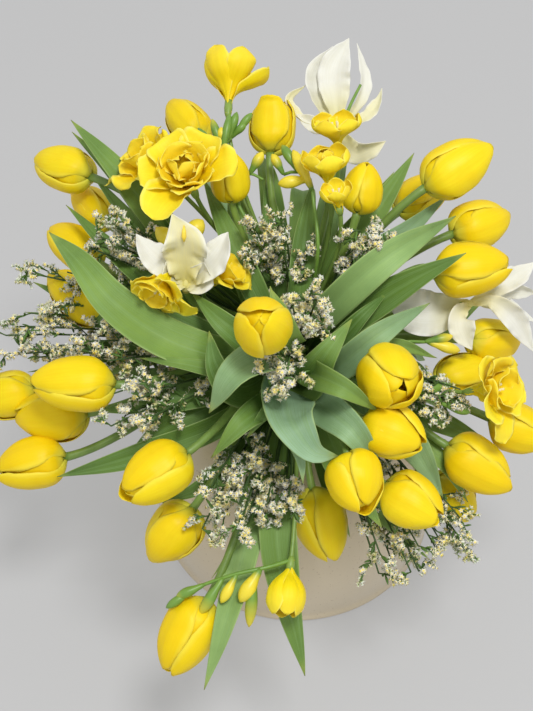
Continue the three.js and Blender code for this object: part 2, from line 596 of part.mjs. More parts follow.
function backLeafPath({ angle, reach, rise }) {
  const outward = new THREE.Vector3(Math.cos(radians(angle)), Math.sin(radians(angle)), 0);
  const at = (share, height) => NECK.clone()
    .addScaledVector(outward, reach * share)
    .addScaledVector(UP, height);
  const crest = 0.3 * reach;
  return [at(0.52, crest + 0.4 * rise), at(0.76, crest + 0.7 * rise), at(1, rise)];
}

// ---------------------------------------------------------------- freesia buds
// One-sided spikes of shut buds beyond the open freesias. path: places of the stalk as seen,
// which goes on from a bloom's foot, or with fromHeart out of the heart of the bunch. Each
// bud: where it sits along the stalk from 0 to 1, its tip as seen with near, its radius in mm.
const BUD_SPIKES = [
  {
    radius: 1.8,
    path: [[291, 560, 150], [268, 567, 156], [236, 574, 158], [203, 585, 154], [190, 591, 152]],
    buds: [
      [0.3, [240, 602, 157], 6.4], [0.36, [249, 627, 152], 5], [0.52, [221, 603, 158], 4.4],
      [0.66, [200, 614, 155], 4.8], [0.84, [176, 597, 153], 4.2], [0.98, [166, 608, 152], 3.7],
    ],
  },
  {
    fromHeart: true, radius: 1.8,
    path: [[262, 250, 110], [236, 200, 108], [222, 165, 104], [224, 146, 98], [238, 132, 97]],
    buds: [
      [0.78, [205, 143, 108], 4.2], [0.84, [198, 128, 98], 4], [0.9, [212, 119, 98], 3.7],
      [0.92, [221, 127, 102], 4], [0.95, [237, 112, 100], 3.7], [0.98, [252, 113, 100], 3.4],
    ],
  },
  {
    radius: 1.5,
    path: [[223, 168, 105], [236, 182, 110], [250, 174, 110], [264, 180, 112]],
    buds: [[0.4, [243, 196, 114], 4], [0.7, [263, 152, 112], 4.4]],
  },
  {
    fromHeart: true, radius: 1.8,
    path: [[318, 250, 130], [314, 205, 128], [308, 176, 122], [292, 172, 114], [280, 176, 110]],
    buds: [
      [0.8, [293, 150, 120], 5.2], [0.84, [278, 184, 124], 5.4],
      [0.92, [282, 145, 113], 4.2], [0.99, [272, 154, 111], 4],
    ],
  },
  {
    fromHeart: true, radius: 2,
    path: [[345, 380, 130], [395, 392, 132], [430, 400, 124], [444, 404, 124]],
    buds: [[0.88, [464, 390, 122], 4.6], [0.98, [472, 412, 124], 4]],
  },
  {
    fromHeart: true, radius: 1.7,
    path: [[360, 350, 130], [400, 342, 134], [430, 342, 128]],
    buds: [[0.96, [453, 336, 128], 3.8], [0.99, [460, 351, 124], 4.8]],
  },
];

function budSolid(from, tip, radius, grow) {
  const axis = tip.clone().sub(from).normalize();
  const side = new THREE.Vector3().crossVectors(axis, VIEW_NEAR).normalize();
  const length = from.distanceTo(tip);
  const ring = (share, wide) => [0, 1, 2, 3, 4].map((k) => side.clone()
    .applyAxisAngle(axis, (k * 2 * Math.PI) / 5)
    .multiplyScalar(radius * wide + grow)
    .add(from)
    .addScaledVector(axis, share * length));
  const end = (along) => Array(5).fill(from.clone().addScaledVector(axis, along));
  return skin([end(-1 - grow), ring(0.1, 0.5), ring(0.6, 1), ring(0.85, 0.72), end(length + grow)]);
}

function budSpike({ fromHeart, path, radius, buds }, grow) {
  const places = path.map(place);
  const points = fromHeart ? [heartPoint(places[0]), ...places] : places;
  const stalk = new THREE.CatmullRomCurve3(points, false, 'centripetal');
  const shut = buds.map(([share, tip, fat]) => budSolid(stalk.getPointAt(share), place(tip), fat, grow));
  return [rod(stalk, radius + grow, 4, points.length), ...shut];
}

// ---------------------------------------------------------------- foliage
function foliageParts(blooms, grow) {
  const parts = [];
  const { middle, across, up } = HEART;
  const heart = [[BUNDLE_RADIUS - 6, BUNDLE_BOTTOM], [BUNDLE_RADIUS, 172], [BUNDLE_RADIUS, BUNDLE_TOP],
    [0.82 * across, middle.z - 0.6 * up], [across, middle.z], [0.8 * across, middle.z + 0.6 * up]];
  const profile = heart.map(([r, z]) => [r + grow, z]);
  parts.push(solidOfGeometry(turned([[0, BUNDLE_BOTTOM], ...profile, [0, middle.z + up + grow]], 10)));
  blooms.forEach(({ base, axis, stem }) => {
    parts.push(rod(stemCurve(base, axis), stem + grow, 4, stem < STEM_RADIUS ? 3 : 4));
  });
  LEAVES.forEach(({ path, width, turn }) => {
    parts.push(leafSolid(path.map(place), width, turn, VIEW_NEAR, grow));
  });
  BACK_LEAVES.forEach((leaf) => {
    parts.push(leafSolid(backLeafPath(leaf), leaf.width, 0, UP, grow));
  });
  BUD_SPIKES.forEach((spike) => parts.push(...budSpike(spike, grow)));
  return parts;
}

// ---------------------------------------------------------------- sea lavender
// Each spray is a cloud of florets on a branch out of the heart: its middle as seen, its
// radius in mm and the number of its florets.
const SPRAYS = [
  { middle: [55, 290, 75], radius: 40, florets: 9 },
  { middle: [22, 345, 70], radius: 36, florets: 8 },
  { middle: [112, 240, 110], radius: 32, florets: 8 },
  { middle: [105, 345, 150], radius: 34, florets: 8 },
  { middle: [130, 412, 150], radius: 32, florets: 7 },
  { middle: [278, 242, 125], radius: 38, florets: 9 },
  { middle: [370, 240, 150], radius: 26, florets: 7 },
  { middle: [306, 310, 215], radius: 28, florets: 7 },
  { middle: [268, 375, 235], radius: 24, florets: 7 },
  { middle: [222, 512, 150], radius: 36, florets: 9 },
  { middle: [262, 560, 120], radius: 24, florets: 7 },
  { middle: [402, 560, 115], radius: 34, florets: 9 },
  { middle: [450, 535, 85], radius: 34, florets: 8 },
  { middle: [448, 400, 125], radius: 30, florets: 7 },
];
const BRANCH_RADIUS = 1.5;
const FLORET_RADIUS = 4;
const FIRST_SPRAY_SEED = 101;

// A floret on its twig: three sides, slim from its foot, then a three-cornered cup.
function floret(from, end, turn) {
  const axis = end.clone().sub(from).normalize();
  const side = new THREE.Vector3().crossVectors(axis, Math.abs(axis.z) > 0.9 ? VIEW_UP : UP).normalize();
  const ring = (centre, radius, along, twist) => [0, 1, 2].map((k) => side.clone()
    .applyAxisAngle(axis, twist + (k * 2 * Math.PI) / 3)
    .multiplyScalar(radius)
    .add(centre)
    .addScaledVector(axis, along));
  return skin([
    Array(3).fill(from),
    ring(from, 0.5, 0, turn),
    ring(end, 0.6, -2, turn),
    ring(end, FLORET_RADIUS, 1, turn),
    Array(3).fill(end.clone().addScaledVector(axis, 3)),
  ]);
}

function spraySolid({ middle, radius, florets }, seed) {
  const random = seededRandom(seed);
  const cloud = place(middle);
  const foot = heartPoint(cloud);
  const outward = foot.clone().sub(FAN_FROM).normalize();
  const reach = cloud.distanceTo(foot);
  const bend = foot.clone().addScaledVector(outward, reach * 0.5);
  const branch = new THREE.QuadraticBezierCurve3(foot, bend, cloud);
  const parts = [rod(branch, BRANCH_RADIUS, 4, 3)];
  for (let k = 0; k < florets; k += 1) {
    const from = branch.getPoint(0.5 + (0.48 * k) / florets);
    const turn = GOLDEN_TURN * k + random();
    const height = 1 - (2 * (k + 0.5)) / florets;
    const flat = Math.sqrt(1 - height * height);
    const way = new THREE.Vector3(flat * Math.cos(turn), flat * Math.sin(turn), height);
    const end = cloud.clone().addScaledVector(way, radius * (0.6 + 0.4 * random()));
    parts.push(floret(from, end, turn));
  }
  return joined(parts);
}

// ---------------------------------------------------------------- the bunch
const ends = ({ base, tip, near, rise }) => {
  const from = place([...base, near]);
  const to = place([...tip, near + rise]);
  return { from, to, length: from.distanceTo(to) };
};

function bloomList() {
  const blooms = [];
  TULIPS.forEach((tulip, k) => {
    const { from, to, length } = ends(tulip);
    const frame = bloomFrame(from, to, 1.1 * k);
    blooms.push({
      name: `tulip_${String(k + 1).padStart(2, '0')}`,
      frame,
      solid: moved(tulipSolid(length, tulip), frame),
      envelope: moved(tulipEnvelope(length, tulip), frame),
      stem: STEM_RADIUS,
      material: TULIP_YELLOW,
    });
  });
  FREESIAS.forEach((freesia, k) => {
    const { from, to, length } = ends(freesia);
    const frame = bloomFrame(from, to, 0.7 * k);
    blooms.push({
      name: `freesia_${String(k + 1).padStart(2, '0')}`,
      frame,
      solid: moved(freesiaSolid(length, freesia.flare, freesia.form, 0), frame),
      envelope: moved(freesiaSolid(length, freesia.flare, freesia.form, GAP), frame),
      stem: 1.8,
      material: FREESIA_YELLOW,
    });
  });
  IRISES.forEach((iris, k) => {
    const { from, to } = ends(iris);
    const frame = bloomFrame(from, to, 0.4 + 0.9 * k);
    const axis = to.clone().sub(from).normalize();
    blooms.push({
      name: `iris_${k + 1}`,
      frame,
      solid: irisSolid(iris, from, axis, 0),
      envelope: irisSolid(iris, from, axis, GAP),
      stem: 2.8,
      material: IRIS_WHITE,
    });
  });
  return blooms;
}

// Takes away from a solid what would touch the others.
function cutClear(solid, others) {
  const box = boxOf(solid);
  const near = others.filter((other) => box.intersectsBox(boxOf(other)));
  return near.reduce((rest, other) => rest.subtract(other), solid);
}

// A piece from its solid in the bunch's frame: its mesh sits at its own place and turn.
function pieceOf(name, solid, frame, material) {
  const geometry = geometryOf(solid).applyMatrix4(frame.clone().invert());
  const mesh = new THREE.Mesh(geometry, material);
  mesh.name = name;
  mesh.applyMatrix4(frame);
  return mesh;
}

function groupOf(name, pieces) {
  const group = new THREE.Group();
  group.name = name;
  group.add(...pieces);
  return group;
}

const vaseEnvelope = grownVase();
const bloomEnvelopes = [];
const blooms = bloomList();
blooms.forEach((bloom) => {
  bloom.base = new THREE.Vector3();
  bloom.axis = new THREE.Vector3();
  bloom.frame.extractBasis(new THREE.Vector3(), new THREE.Vector3(), bloom.axis);
  bloom.base.setFromMatrixPosition(bloom.frame);
  const solid = cutClear(bloom.solid, bloomEnvelopes);
  bloom.piece = pieceOf(bloom.name, solid, bloom.frame, bloom.material());
  bloomEnvelopes.push(bloom.envelope);
});

const cutEnds = Array.from({ length: CUT_ENDS }, (_, k) => cutEnd(k));
const grown = joined([...cutEnds, ...foliageParts(blooms, 0)]);
const foliage = cutClear(grown, [vaseEnvelope, ...bloomEnvelopes]);
const greenery = pieceOf('foliage', foliage, new THREE.Matrix4(), GREEN());

const foliageEnvelope = joined(foliageParts(blooms, GAP));
const spraySolids = [];
SPRAYS.forEach((spray, k) => {
  const others = [vaseEnvelope, ...bloomEnvelopes, foliageEnvelope, ...spraySolids];
  spraySolids.push(cutClear(spraySolid(spray, FIRST_SPRAY_SEED + 7 * k), others));
});
const sprays = spraySolids.map((solid, k) => {
  const frame = new THREE.Matrix4().setPosition(place(SPRAYS[k].middle));
  return pieceOf(`sea_lavender_${String(k + 1).padStart(2, '0')}`, solid, frame, FLORET_WHITE());
});

const kindOf = (kind) => blooms.filter(({ name }) => name.startsWith(kind)).map(({ piece }) => piece);
const bunch = new THREE.Group();
bunch.add(
  groupOf('vessel', [vase(), water()]),
  groupOf('greenery', [greenery]),
  groupOf('tulips', kindOf('tulip')),
  groupOf('freesias', kindOf('freesia')),
  groupOf('irises', kindOf('iris')),
  groupOf('sea_lavender', sprays),
);

export default bunch;
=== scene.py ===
import math
import bpy
import numpy as np
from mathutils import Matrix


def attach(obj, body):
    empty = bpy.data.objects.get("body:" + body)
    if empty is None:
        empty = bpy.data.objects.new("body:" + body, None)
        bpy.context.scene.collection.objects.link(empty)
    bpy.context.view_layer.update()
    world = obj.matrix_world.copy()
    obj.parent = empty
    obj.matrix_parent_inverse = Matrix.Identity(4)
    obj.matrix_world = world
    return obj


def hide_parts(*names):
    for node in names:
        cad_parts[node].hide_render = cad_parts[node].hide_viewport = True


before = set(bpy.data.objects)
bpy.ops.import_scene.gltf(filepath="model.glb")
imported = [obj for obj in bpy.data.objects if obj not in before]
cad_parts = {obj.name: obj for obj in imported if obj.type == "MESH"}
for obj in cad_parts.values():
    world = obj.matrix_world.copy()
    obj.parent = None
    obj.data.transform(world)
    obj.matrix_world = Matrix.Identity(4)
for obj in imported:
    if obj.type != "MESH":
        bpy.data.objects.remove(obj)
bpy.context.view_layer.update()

# -------------------- the view and the room
# The bunch stands on a pale matt table top, lit by two soft lights and a little through from
# below. Its flowers are laid out as they are seen from the front and above: x and y in a view
# of 533 by 711 points, and near, how many mm nearer to the eye than the vase's neck.
TILT = math.radians(52)
VIEW_DISTANCE, VIEW_FOCAL, VIEW_HEIGHT, SENSOR = 1400.0, 1556.0, 711, 36
VIEW_MIDDLE, VIEW_NECK = (266.5, 355.5), (298.0, 375.0)
NECK = np.array([0.0, 0.0, 215.0])
VIEW_UP = np.array([0.0, math.sin(TILT), math.cos(TILT)])
VIEW_NEAR = np.array([0.0, -math.cos(TILT), math.sin(TILT)])
UP = np.array([0.0, 0.0, 1.0])
FLOOR_REACH, FLOOR_GLOW, ROOM_GLOW = 14000, 0.29, 0.68
LIGHT_AIM = (0, 0, 0.2)


def seen(x, y, near):
    """The place in mm of a point of the view."""
    depth = VIEW_DISTANCE - near
    across = (x - VIEW_MIDDLE[0]) * depth - (VIEW_NECK[0] - VIEW_MIDDLE[0]) * VIEW_DISTANCE
    up = (VIEW_MIDDLE[1] - y) * depth - (VIEW_MIDDLE[1] - VIEW_NECK[1]) * VIEW_DISTANCE
    across, up = across / VIEW_FOCAL, up / VIEW_FOCAL
    return NECK + np.array([across, 0.0, 0.0]) + VIEW_UP * up + VIEW_NEAR * near


def set_inputs(tree, node, inputs):
    for key, value in inputs.items():
        if isinstance(value, bpy.types.NodeSocket):
            tree.links.new(value, node.inputs[key])
        else:
            node.inputs[key].default_value = value


def add_node(owner, kind, inputs=None, **settings):
    """The outputs of a new node in a material or a tree, with values or links at its inputs."""
    tree = getattr(owner, "node_tree", owner)
    made = tree.nodes.new(kind)
    for key, value in settings.items():
        setattr(made, key, value)
    set_inputs(tree, made, inputs or {})
    return made.outputs


def shade(paint, inputs):
    """Values or links for a material's own shader, which is handed back."""
    shader = paint.node_tree.nodes["Principled BSDF"]
    set_inputs(paint.node_tree, shader, inputs)
    return shader


def new_paint(name, roughness, specular=0.5):
    paint = bpy.data.materials.new(name)
    paint.use_nodes = True
    shade(paint, {"Roughness": roughness, "Specular IOR Level": specular})
    return paint


def colour_mix(paint, amount, low, high):
    low, high = (v if isinstance(v, bpy.types.NodeSocket) else (*v, 1.0) for v in (low, high))
    return add_node(paint, "ShaderNodeMix", {0: amount, 6: low, 7: high}, data_type="RGBA")[2]


def level(paint, value, low, high, out_low=0.0, out_high=1.0):
    inputs = {0: value, 1: low, 2: high, 3: out_low, 4: out_high}
    return add_node(paint, "ShaderNodeMapRange", inputs)[0]


def object_noise(paint, scale, detail=3.0, stretch=(1, 1, 1)):
    place = add_node(paint, "ShaderNodeTexCoord")["Object"]
    place = add_node(paint, "ShaderNodeMapping", {"Vector": place, "Scale": stretch})[0]
    return add_node(paint, "ShaderNodeTexNoise", {"Vector": place, "Scale": scale, "Detail": detail})[0]


def mottled_paint(name, roughness, scale, low, high, detail=3.0, specular=0.5):
    """A material that wanders between two colours."""
    paint = new_paint(name, roughness, specular)
    shade(paint, {"Base Color": colour_mix(paint, object_noise(paint, scale, detail), low, high)})
    return paint


def new_object(name, data):
    made = bpy.data.objects.new(name, data)
    bpy.context.scene.collection.objects.link(made)
    return made


def mesh_piece(name, points, faces, paints):
    """A smooth mesh from points in mm."""
    mesh = bpy.data.meshes.new(name)
    mesh.from_pydata((np.asarray(points) * 0.001).tolist(), [], faces)
    mesh.polygons.foreach_set("use_smooth", [True] * len(mesh.polygons))
    for paint in paints:
        mesh.materials.append(paint)
    return new_object(name, mesh)


floor_paint = mottled_paint("studio_floor", 0.75, 1.1, (0.24, 0.24, 0.242), (0.252, 0.252, 0.254), 2.0, 0.2)
shade(floor_paint, {"Emission Color": (1.0, 1.0, 1.0, 1.0), "Emission Strength": FLOOR_GLOW})
corners = [(x * FLOOR_REACH, y * FLOOR_REACH, 0) for x, y in ((-1, -1), (1, -1), (1, 1), (-1, 1))]
floor = mesh_piece("floor", corners, [(0, 1, 2, 3)], [floor_paint])

camera_data = bpy.data.cameras.new("camera")
camera_data.lens = VIEW_FOCAL / VIEW_HEIGHT * SENSOR
camera_data.sensor_width = SENSOR
camera = new_object("camera", camera_data)
camera.location = (seen(0, 0, VIEW_DISTANCE) * 0.001).tolist()
camera.rotation_euler = (math.pi / 2 - TILT, 0, 0)
bpy.context.scene.camera = camera


def soft_light(name, place, size, power):
    data = bpy.data.lights.new(name, "AREA")
    data.shape = "DISK"
    data.size = size
    data.energy = power
    lamp = new_object(name, data)
    lamp.location = place
    x, y, z = np.array(LIGHT_AIM) - np.array(place)
    lamp.rotation_euler = (math.atan2(math.hypot(x, y), -z), 0, math.atan2(x, -y))


soft_light("key", (0.5, -1.0, 3.6), 0.9, 92)
soft_light("fill", (-0.6, -2.3, 1.2), 2.0, 36)
world = bpy.data.worlds.new("studio")
world.use_nodes = True
set_inputs(world.node_tree, world.node_tree.nodes["Background"], {0: (1.0, 1.0, 1.0, 1.0), 1: ROOM_GLOW})
bpy.context.scene.world = world
bpy.context.scene.view_settings.view_transform = "Standard"

# -------------------- vase
# A squat round vase, thrown or cast in pale clay and glazed cream. It stands on a flat foot
# with a small bead, and a narrow neck under the flowers holds the stalks together. Radius and
# height in mm: up the outside from the foot, and down the inside to the floor.
VASE_OUTSIDE = (
    (130, 0), (133.5, 4), (132, 9), (136, 40), (138, 72), (134, 106), (119, 142), (91, 171), (60, 186),
    (48, 197), (51, 211), (48, 215))
VASE_INSIDE = (
    (43, 213), (42, 190), (62, 178), (90, 163), (114, 137), (129, 104), (132, 72), (129, 40), (118, 9))
VASE_FOOT_FLAT, VASE_FLOOR = 102, 8
VASE_SIDES, OUTSIDE_RINGS, INSIDE_RINGS = 128, 96, 40


def smooth_line(points, count):
    """An evenly spaced smooth line through points."""
    p = [np.asarray(q, dtype=float) for q in points]
    p = [2 * p[0] - p[1]] + p + [2 * p[-1] - p[-2]]
    out = []
    for k in range(1, len(p) - 2):
        a, b, c, d = p[k - 1:k + 3]
        ta, tb, tc = (max(np.linalg.norm(w - v) ** 0.5, 1e-4) for v, w in ((a, b), (b, c), (c, d)))
        m1 = ((b - a) / ta - (c - a) / (ta + tb) + (c - b) / tb) * tb
        m2 = ((c - b) / tb - (d - b) / (tb + tc) + (d - c) / tc) * tb
        t = np.linspace(0, 1, 24, endpoint=False)[:, None]
        square, cube = -3 * b + 3 * c - 2 * m1 - m2, 2 * b - 2 * c + m1 + m2
        out.append(b + m1 * t + square * t ** 2 + cube * t ** 3)
    line = np.vstack(out + [p[-2][None]])
    gone = np.concatenate([[0], np.cumsum(np.linalg.norm(np.diff(line, axis=0), axis=1))])
    share = np.linspace(0, gone[-1], count)
    return np.stack([np.interp(share, gone, line[:, k]) for k in range(line.shape[1])], axis=1)


def ring_faces(rings, sides):
    """Faces of a closed round body: one end point, rings of points, the other end point."""
    faces = [(0, 1 + (k + 1) % sides, 1 + k) for k in range(sides)]
    for i in range(rings - 1):
        a, b = 1 + i * sides, 1 + (i + 1) * sides
        faces += [(a + k, a + (k + 1) % sides, b + (k + 1) % sides, b + k) for k in range(sides)]
    last = 1 + (rings - 1) * sides
    return faces + [(last + k, last + (k + 1) % sides, last + sides) for k in range(sides)]


def tinted(paint, base, colour, value, low, high, amount=1.0):
    """A base colour with another laid over it as value goes from low to high."""
    return colour_mix(paint, level(paint, value, low, high, 0.0, amount), base, colour)


def bumped(paint, height, strength, distance):
    inputs = {"Height": height, "Strength": strength, "Distance": distance}
    shade(paint, {"Normal": add_node(paint, "ShaderNodeBump", inputs)[0]})


glaze = new_paint("cream_glaze", 0.3)
cream = colour_mix(glaze, object_noise(glaze, 9, 4.0), (0.65, 0.55, 0.38), (0.7, 0.6, 0.43))
cream = tinted(glaze, cream, (0.52, 0.42, 0.28), object_noise(glaze, 420, 1.0), 0.68, 0.76)
shade(glaze, {
    "Base Color": cream, "Coat Weight": 0.25, "Coat Roughness": 0.12,
    "Roughness": level(glaze, object_noise(glaze, 30, 2.0), 0.2, 0.8, 0.26, 0.36),
})
bumped(glaze, object_noise(glaze, 24, 2.0), 0.12, 0.002)

outside, inside = smooth_line(VASE_OUTSIDE, OUTSIDE_RINGS), smooth_line(VASE_INSIDE, INSIDE_RINGS)
rings = [(VASE_FOOT_FLAT, 0), *outside, *inside]
turns = np.linspace(0, 2 * math.pi, VASE_SIDES, endpoint=False)
points = [(r * math.cos(a), r * math.sin(a), z) for r, z in rings for a in turns]
points = [(0, 0, 0)] + points + [(0, 0, VASE_FLOOR)]
vase = mesh_piece("vase_glazed", points, ring_faces(len(rings), VASE_SIDES), [glaze])
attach(vase, "root")
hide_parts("vase")

# -------------------- water
# Clean tap water in the lower half of the vase, round the cut ends of the stalks.
still_water = mottled_paint("still_water", 0.04, 14, (0.74, 0.83, 0.84), (0.8, 0.87, 0.86))
shade(still_water, {"Transmission Weight": 0.85, "IOR": 1.33})
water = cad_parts["water"]
water.data.materials.clear()
water.data.materials.append(still_water)

# -------------------- where every bloom is
# Cut flowers hold themselves: each has a foot where its stalk ends and a tip it looks to.
# Foot and tip as seen, near of the foot, how much nearer the tip is, then for tulips how far
# open and how wide the head is, and for freesias the radius of the mouth.
TULIPS = [
    ((91, 177), (35, 160), 60, -30, 0, 0.88), ((108, 223), (80, 192), 40, -40, 0.3, 0.7),
    ((99, 263), (50, 228), 40, -30, 0, 0.82), ((106, 318), (50, 274), 75, -20, 0, 0.88),
    ((115, 385), (32, 384), 140, 0, 0, 1), ((88, 413), (17, 419), 85, -15, 0, 1),
    ((66, 457), (-4, 471), 80, 0, 0, 1), ((36, 390), (-30, 402), 60, -10, 0, 0.92),
    ((187, 453), (123, 496), 165, 15, 0.1, 1), ((193, 508), (151, 559), 125, -15, 0, 1),
    ((208, 600), (165, 673), 140, 0, 0, 1), ((265, 333), (260, 317), 225, 60, 0.1, 0.95),
    ((378, 364), (404, 392), 165, 50, 0.2, 1.08), ((364, 420), (424, 446), 165, 20, 0, 1),
    ((348, 455), (364, 510), 185, 25, 0, 1), ((385, 485), (441, 521), 140, 15, 0.1, 1),
    ((312, 488), (331, 560), 102, -6, 0, 1), ((425, 188), (490, 145), 120, 0, 0, 1),
    ((398, 212), (446, 178), 50, -20, 0, 0.82), ((452, 234), (508, 214), 95, -20, 0, 0.92),
    ((434, 275), (512, 262), 135, 0, 0.1, 1), ((470, 340), (517, 340), 90, -35, 0, 0.82),
    ((436, 382), (492, 366), 95, -20, 0, 0.8), ((447, 446), (511, 484), 110, 0, 0, 1),
    ((436, 478), (473, 518), 70, -25, 0, 0.84), ((490, 418), (548, 440), 85, 0, 0, 0.94),
    ((203, 140), (171, 103), 60, -30, 0, 0.78), ((232, 201), (226, 153), 110, 20, 0.2, 0.68),
    ((270, 153), (276, 96), 85, -20, 0.3, 0.84), ((357, 213), (367, 164), 120, 10, 0, 0.74),
]
FREESIAS = [
    ((228, 114), (231, 60), 85, -20, 24), ((196, 196), (182, 162), 130, 38, 33),
    ((170, 182), (136, 152), 100, 20, 27), ((338, 152), (335, 117), 110, 12, 21),
    ((330, 190), (324, 152), 140, 14, 20), ((340, 212), (335, 186), 155, 14, 12),
    ((172, 266), (154, 298), 156, 12, 23), ((208, 286), (233, 267), 127, 13, 22),
    ((291, 560), (285, 606), 150, 10, 16), ((466, 392), (508, 387), 128, 26, 28),
]
IRISES = [
    ((338, 132), (340, 60), 62, -6, 0),
    ((186, 288), (182, 226), 146, 40, 0),
    ((466, 304), (512, 300), 106, 10, 0),
]
# Of each kind: how far each bloom is rolled from the last, the first one's roll, and the
# radius of the stalks.
KINDS = (
    ("tulip", TULIPS, 1.1, 0.0, 3.4), ("freesia", FREESIAS, 0.7, 0.0, 1.8), ("iris", IRISES, 0.9, 0.4, 2.8))


def unit(way):
    return way / np.linalg.norm(way)


def bloom_frame(foot, tip, roll):
    """Two ways across a bloom and the way along it."""
    axis = unit(tip - foot)
    side = np.cross(VIEW_NEAR, axis)
    if np.linalg.norm(side) < 0.2:
        side = np.cross(VIEW_UP, axis)
    side = unit(side)
    side = side * math.cos(roll) + np.cross(axis, side) * math.sin(roll)
    return side, np.cross(axis, side), axis


blooms = []
for kind, table, step, start, stalk in KINDS:
    for k, (foot, tip, near, rise, size, *girth) in enumerate(table):
        low, high = seen(*foot, near), seen(*tip, near + rise)
        node = f"{kind}_{k + 1}" if kind == "iris" else f"{kind}_{k + 1:02d}"
        blooms.append(dict(
            kind=kind, node=node, foot=low, length=np.linalg.norm(high - low), size=size, stalk=stalk,
            girth=girth, frame=bloom_frame(low, high, start + step * k),
            random=np.random.default_rng(100 + len(blooms)),
        ))

# -------------------- stalks
# Round juicy green stalks, cut at the foot. They stand fanned in the water, are packed tight
# in the vase's neck and spread again above it, each up to its own flower.
HEART, HEART_ACROSS, HEART_UP = np.array([0.0, 0.0, 246.0]), 66.0, 38.0
FAN_FROM = np.array([0.0, 0.0, 200.0])
GOLDEN_TURN = 2.4
# The cut ends' circle on the vase's floor, then shares of it and heights up in the vase.
CUT_ENDS, CUT_ENDS_REACH, CUT_AT = 5, 33, (9, 14, 19, 24)
IN_VASE = ((0.72, 150), (0.7, 205))
STALK_ROWS, STALK_SIDES, STALK_SWELL = 22, 10, 0.06


def heart_point(target):
    """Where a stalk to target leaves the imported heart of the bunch."""
    way = target - HEART
    way[2] = max(way[2], -0.1 * math.hypot(way[0], way[1]))
    flat = math.hypot(way[0], way[1]) / (0.82 * HEART_ACROSS)
    return HEART + way / math.hypot(flat, way[2] / (0.7 * HEART_UP))


def rod_part(line, radii, sides, slot=0, tone=0.5):
    """A round rod along a line, closed at both ends."""
    line = np.asarray(line, dtype=float)
    radii = np.broadcast_to(np.asarray(radii, dtype=float), (len(line),))
    way = np.gradient(line, axis=0)
    way /= np.linalg.norm(way, axis=1)[:, None] + 1e-12
    side = np.cross(way[0], UP if abs(way[0][2]) < 0.9 else VIEW_UP)
    turn = np.linspace(0, 2 * math.pi, sides, endpoint=False)
    points = [line[:1]]
    for p, w, r in zip(line, way, radii):
        side = unit(side - w * np.dot(side, w))
        other = np.cross(w, side)
        points.append(p + r * (np.cos(turn)[:, None] * side + np.sin(turn)[:, None] * other))
    points = np.vstack(points + [line[-1:]])
    rings = np.broadcast_to(np.asarray(tone, dtype=float), (len(line),))
    tones = np.concatenate([rings[:1], np.repeat(rings, sides), rings[-1:]])
    flat = np.zeros((len(points), 2))
    return points, ring_faces(len(line), sides), flat, tones, flat[:, 0], slot


def joined_piece(name, parts, paints):
    """One mesh from parts: points, faces, places on the sheet, tone, underside, slot."""
    starts = np.cumsum([0] + [len(p[0]) for p in parts])
    points = np.vstack([p[0] for p in parts])
    faces = [tuple(v + s for v in f) for p, s in zip(parts, starts) for f in p[1]]
    made = mesh_piece(name, points, faces, paints)
    mesh = made.data
    corners = np.empty(len(mesh.loops), dtype=np.int32)
    mesh.loops.foreach_get("vertex_index", corners)
    sheet = np.vstack([p[2] for p in parts])
    mesh.uv_layers.new(name="sheet").data.foreach_set("uv", sheet[corners].astype(np.float32).ravel())
    for key, column in (("tone", 3), ("under", 4)):
        values = np.concatenate([p[column] for p in parts]).astype(np.float32)
        mesh.attributes.new(key, "FLOAT", "POINT").data.foreach_set("value", values)
    slots = np.concatenate([np.full(len(p[1]), p[5], dtype=np.int32) for p in parts])
    mesh.polygons.foreach_set("material_index", slots)
    return made


def attribute(paint, name):
    return add_node(paint, "ShaderNodeAttribute", attribute_name=name)["Fac"]


stalk_green = new_paint("stalk_green", 0.42)
ribs = object_noise(stalk_green, 160, 2.0, (1, 1, 0.12))
fresh = colour_mix(stalk_green, ribs, (0.16, 0.28, 0.045), (0.32, 0.45, 0.09))
fresh = colour_mix(stalk_green, attribute(stalk_green, "tone"), fresh, (0.06, 0.13, 0.03))
shade(stalk_green, {"Base Color": fresh})
bumped(stalk_green, ribs, 0.25, 0.0006)

stalks = []
for k, bloom in enumerate(blooms):
    axis, foot = bloom["frame"][2], bloom["foot"]
    start = heart_point(foot)
    outward = unit(start - FAN_FROM)
    reach = np.linalg.norm(foot - start)
    turn, spread = k * GOLDEN_TURN, CUT_ENDS + CUT_ENDS_REACH * math.sqrt(k / len(blooms))
    fan = [(spread * s * math.cos(turn), spread * s * math.sin(turn), z)
           for s, z in ((1.0, CUT_AT[k % 4]), *IN_VASE)]
    lower = smooth_line([*fan, start - outward * 8], STALK_ROWS)
    c1, c2, end = start + outward * reach * 0.35, foot - axis * reach * 0.32, foot + axis * 2.5
    t = np.linspace(0, 1, STALK_ROWS)[:, None]
    upper = start * (1 - t) ** 3 + 3 * c1 * t * (1 - t) ** 2 + 3 * c2 * t ** 2 * (1 - t) + end * t ** 3
    line = np.vstack([lower, upper])
    radius = bloom["stalk"] * (1 + STALK_SWELL * np.sin(np.linspace(0, 9, len(line)) + k))
    radius[-2:] *= (1.05, 1.15)
    stalks.append(rod_part(line, radius, STALK_SIDES, tone=bloom["random"].uniform(0, 0.5)))
stalks_piece = joined_piece("stalks", stalks, [stalk_green])
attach(stalks_piece, "root")
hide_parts("foliage")

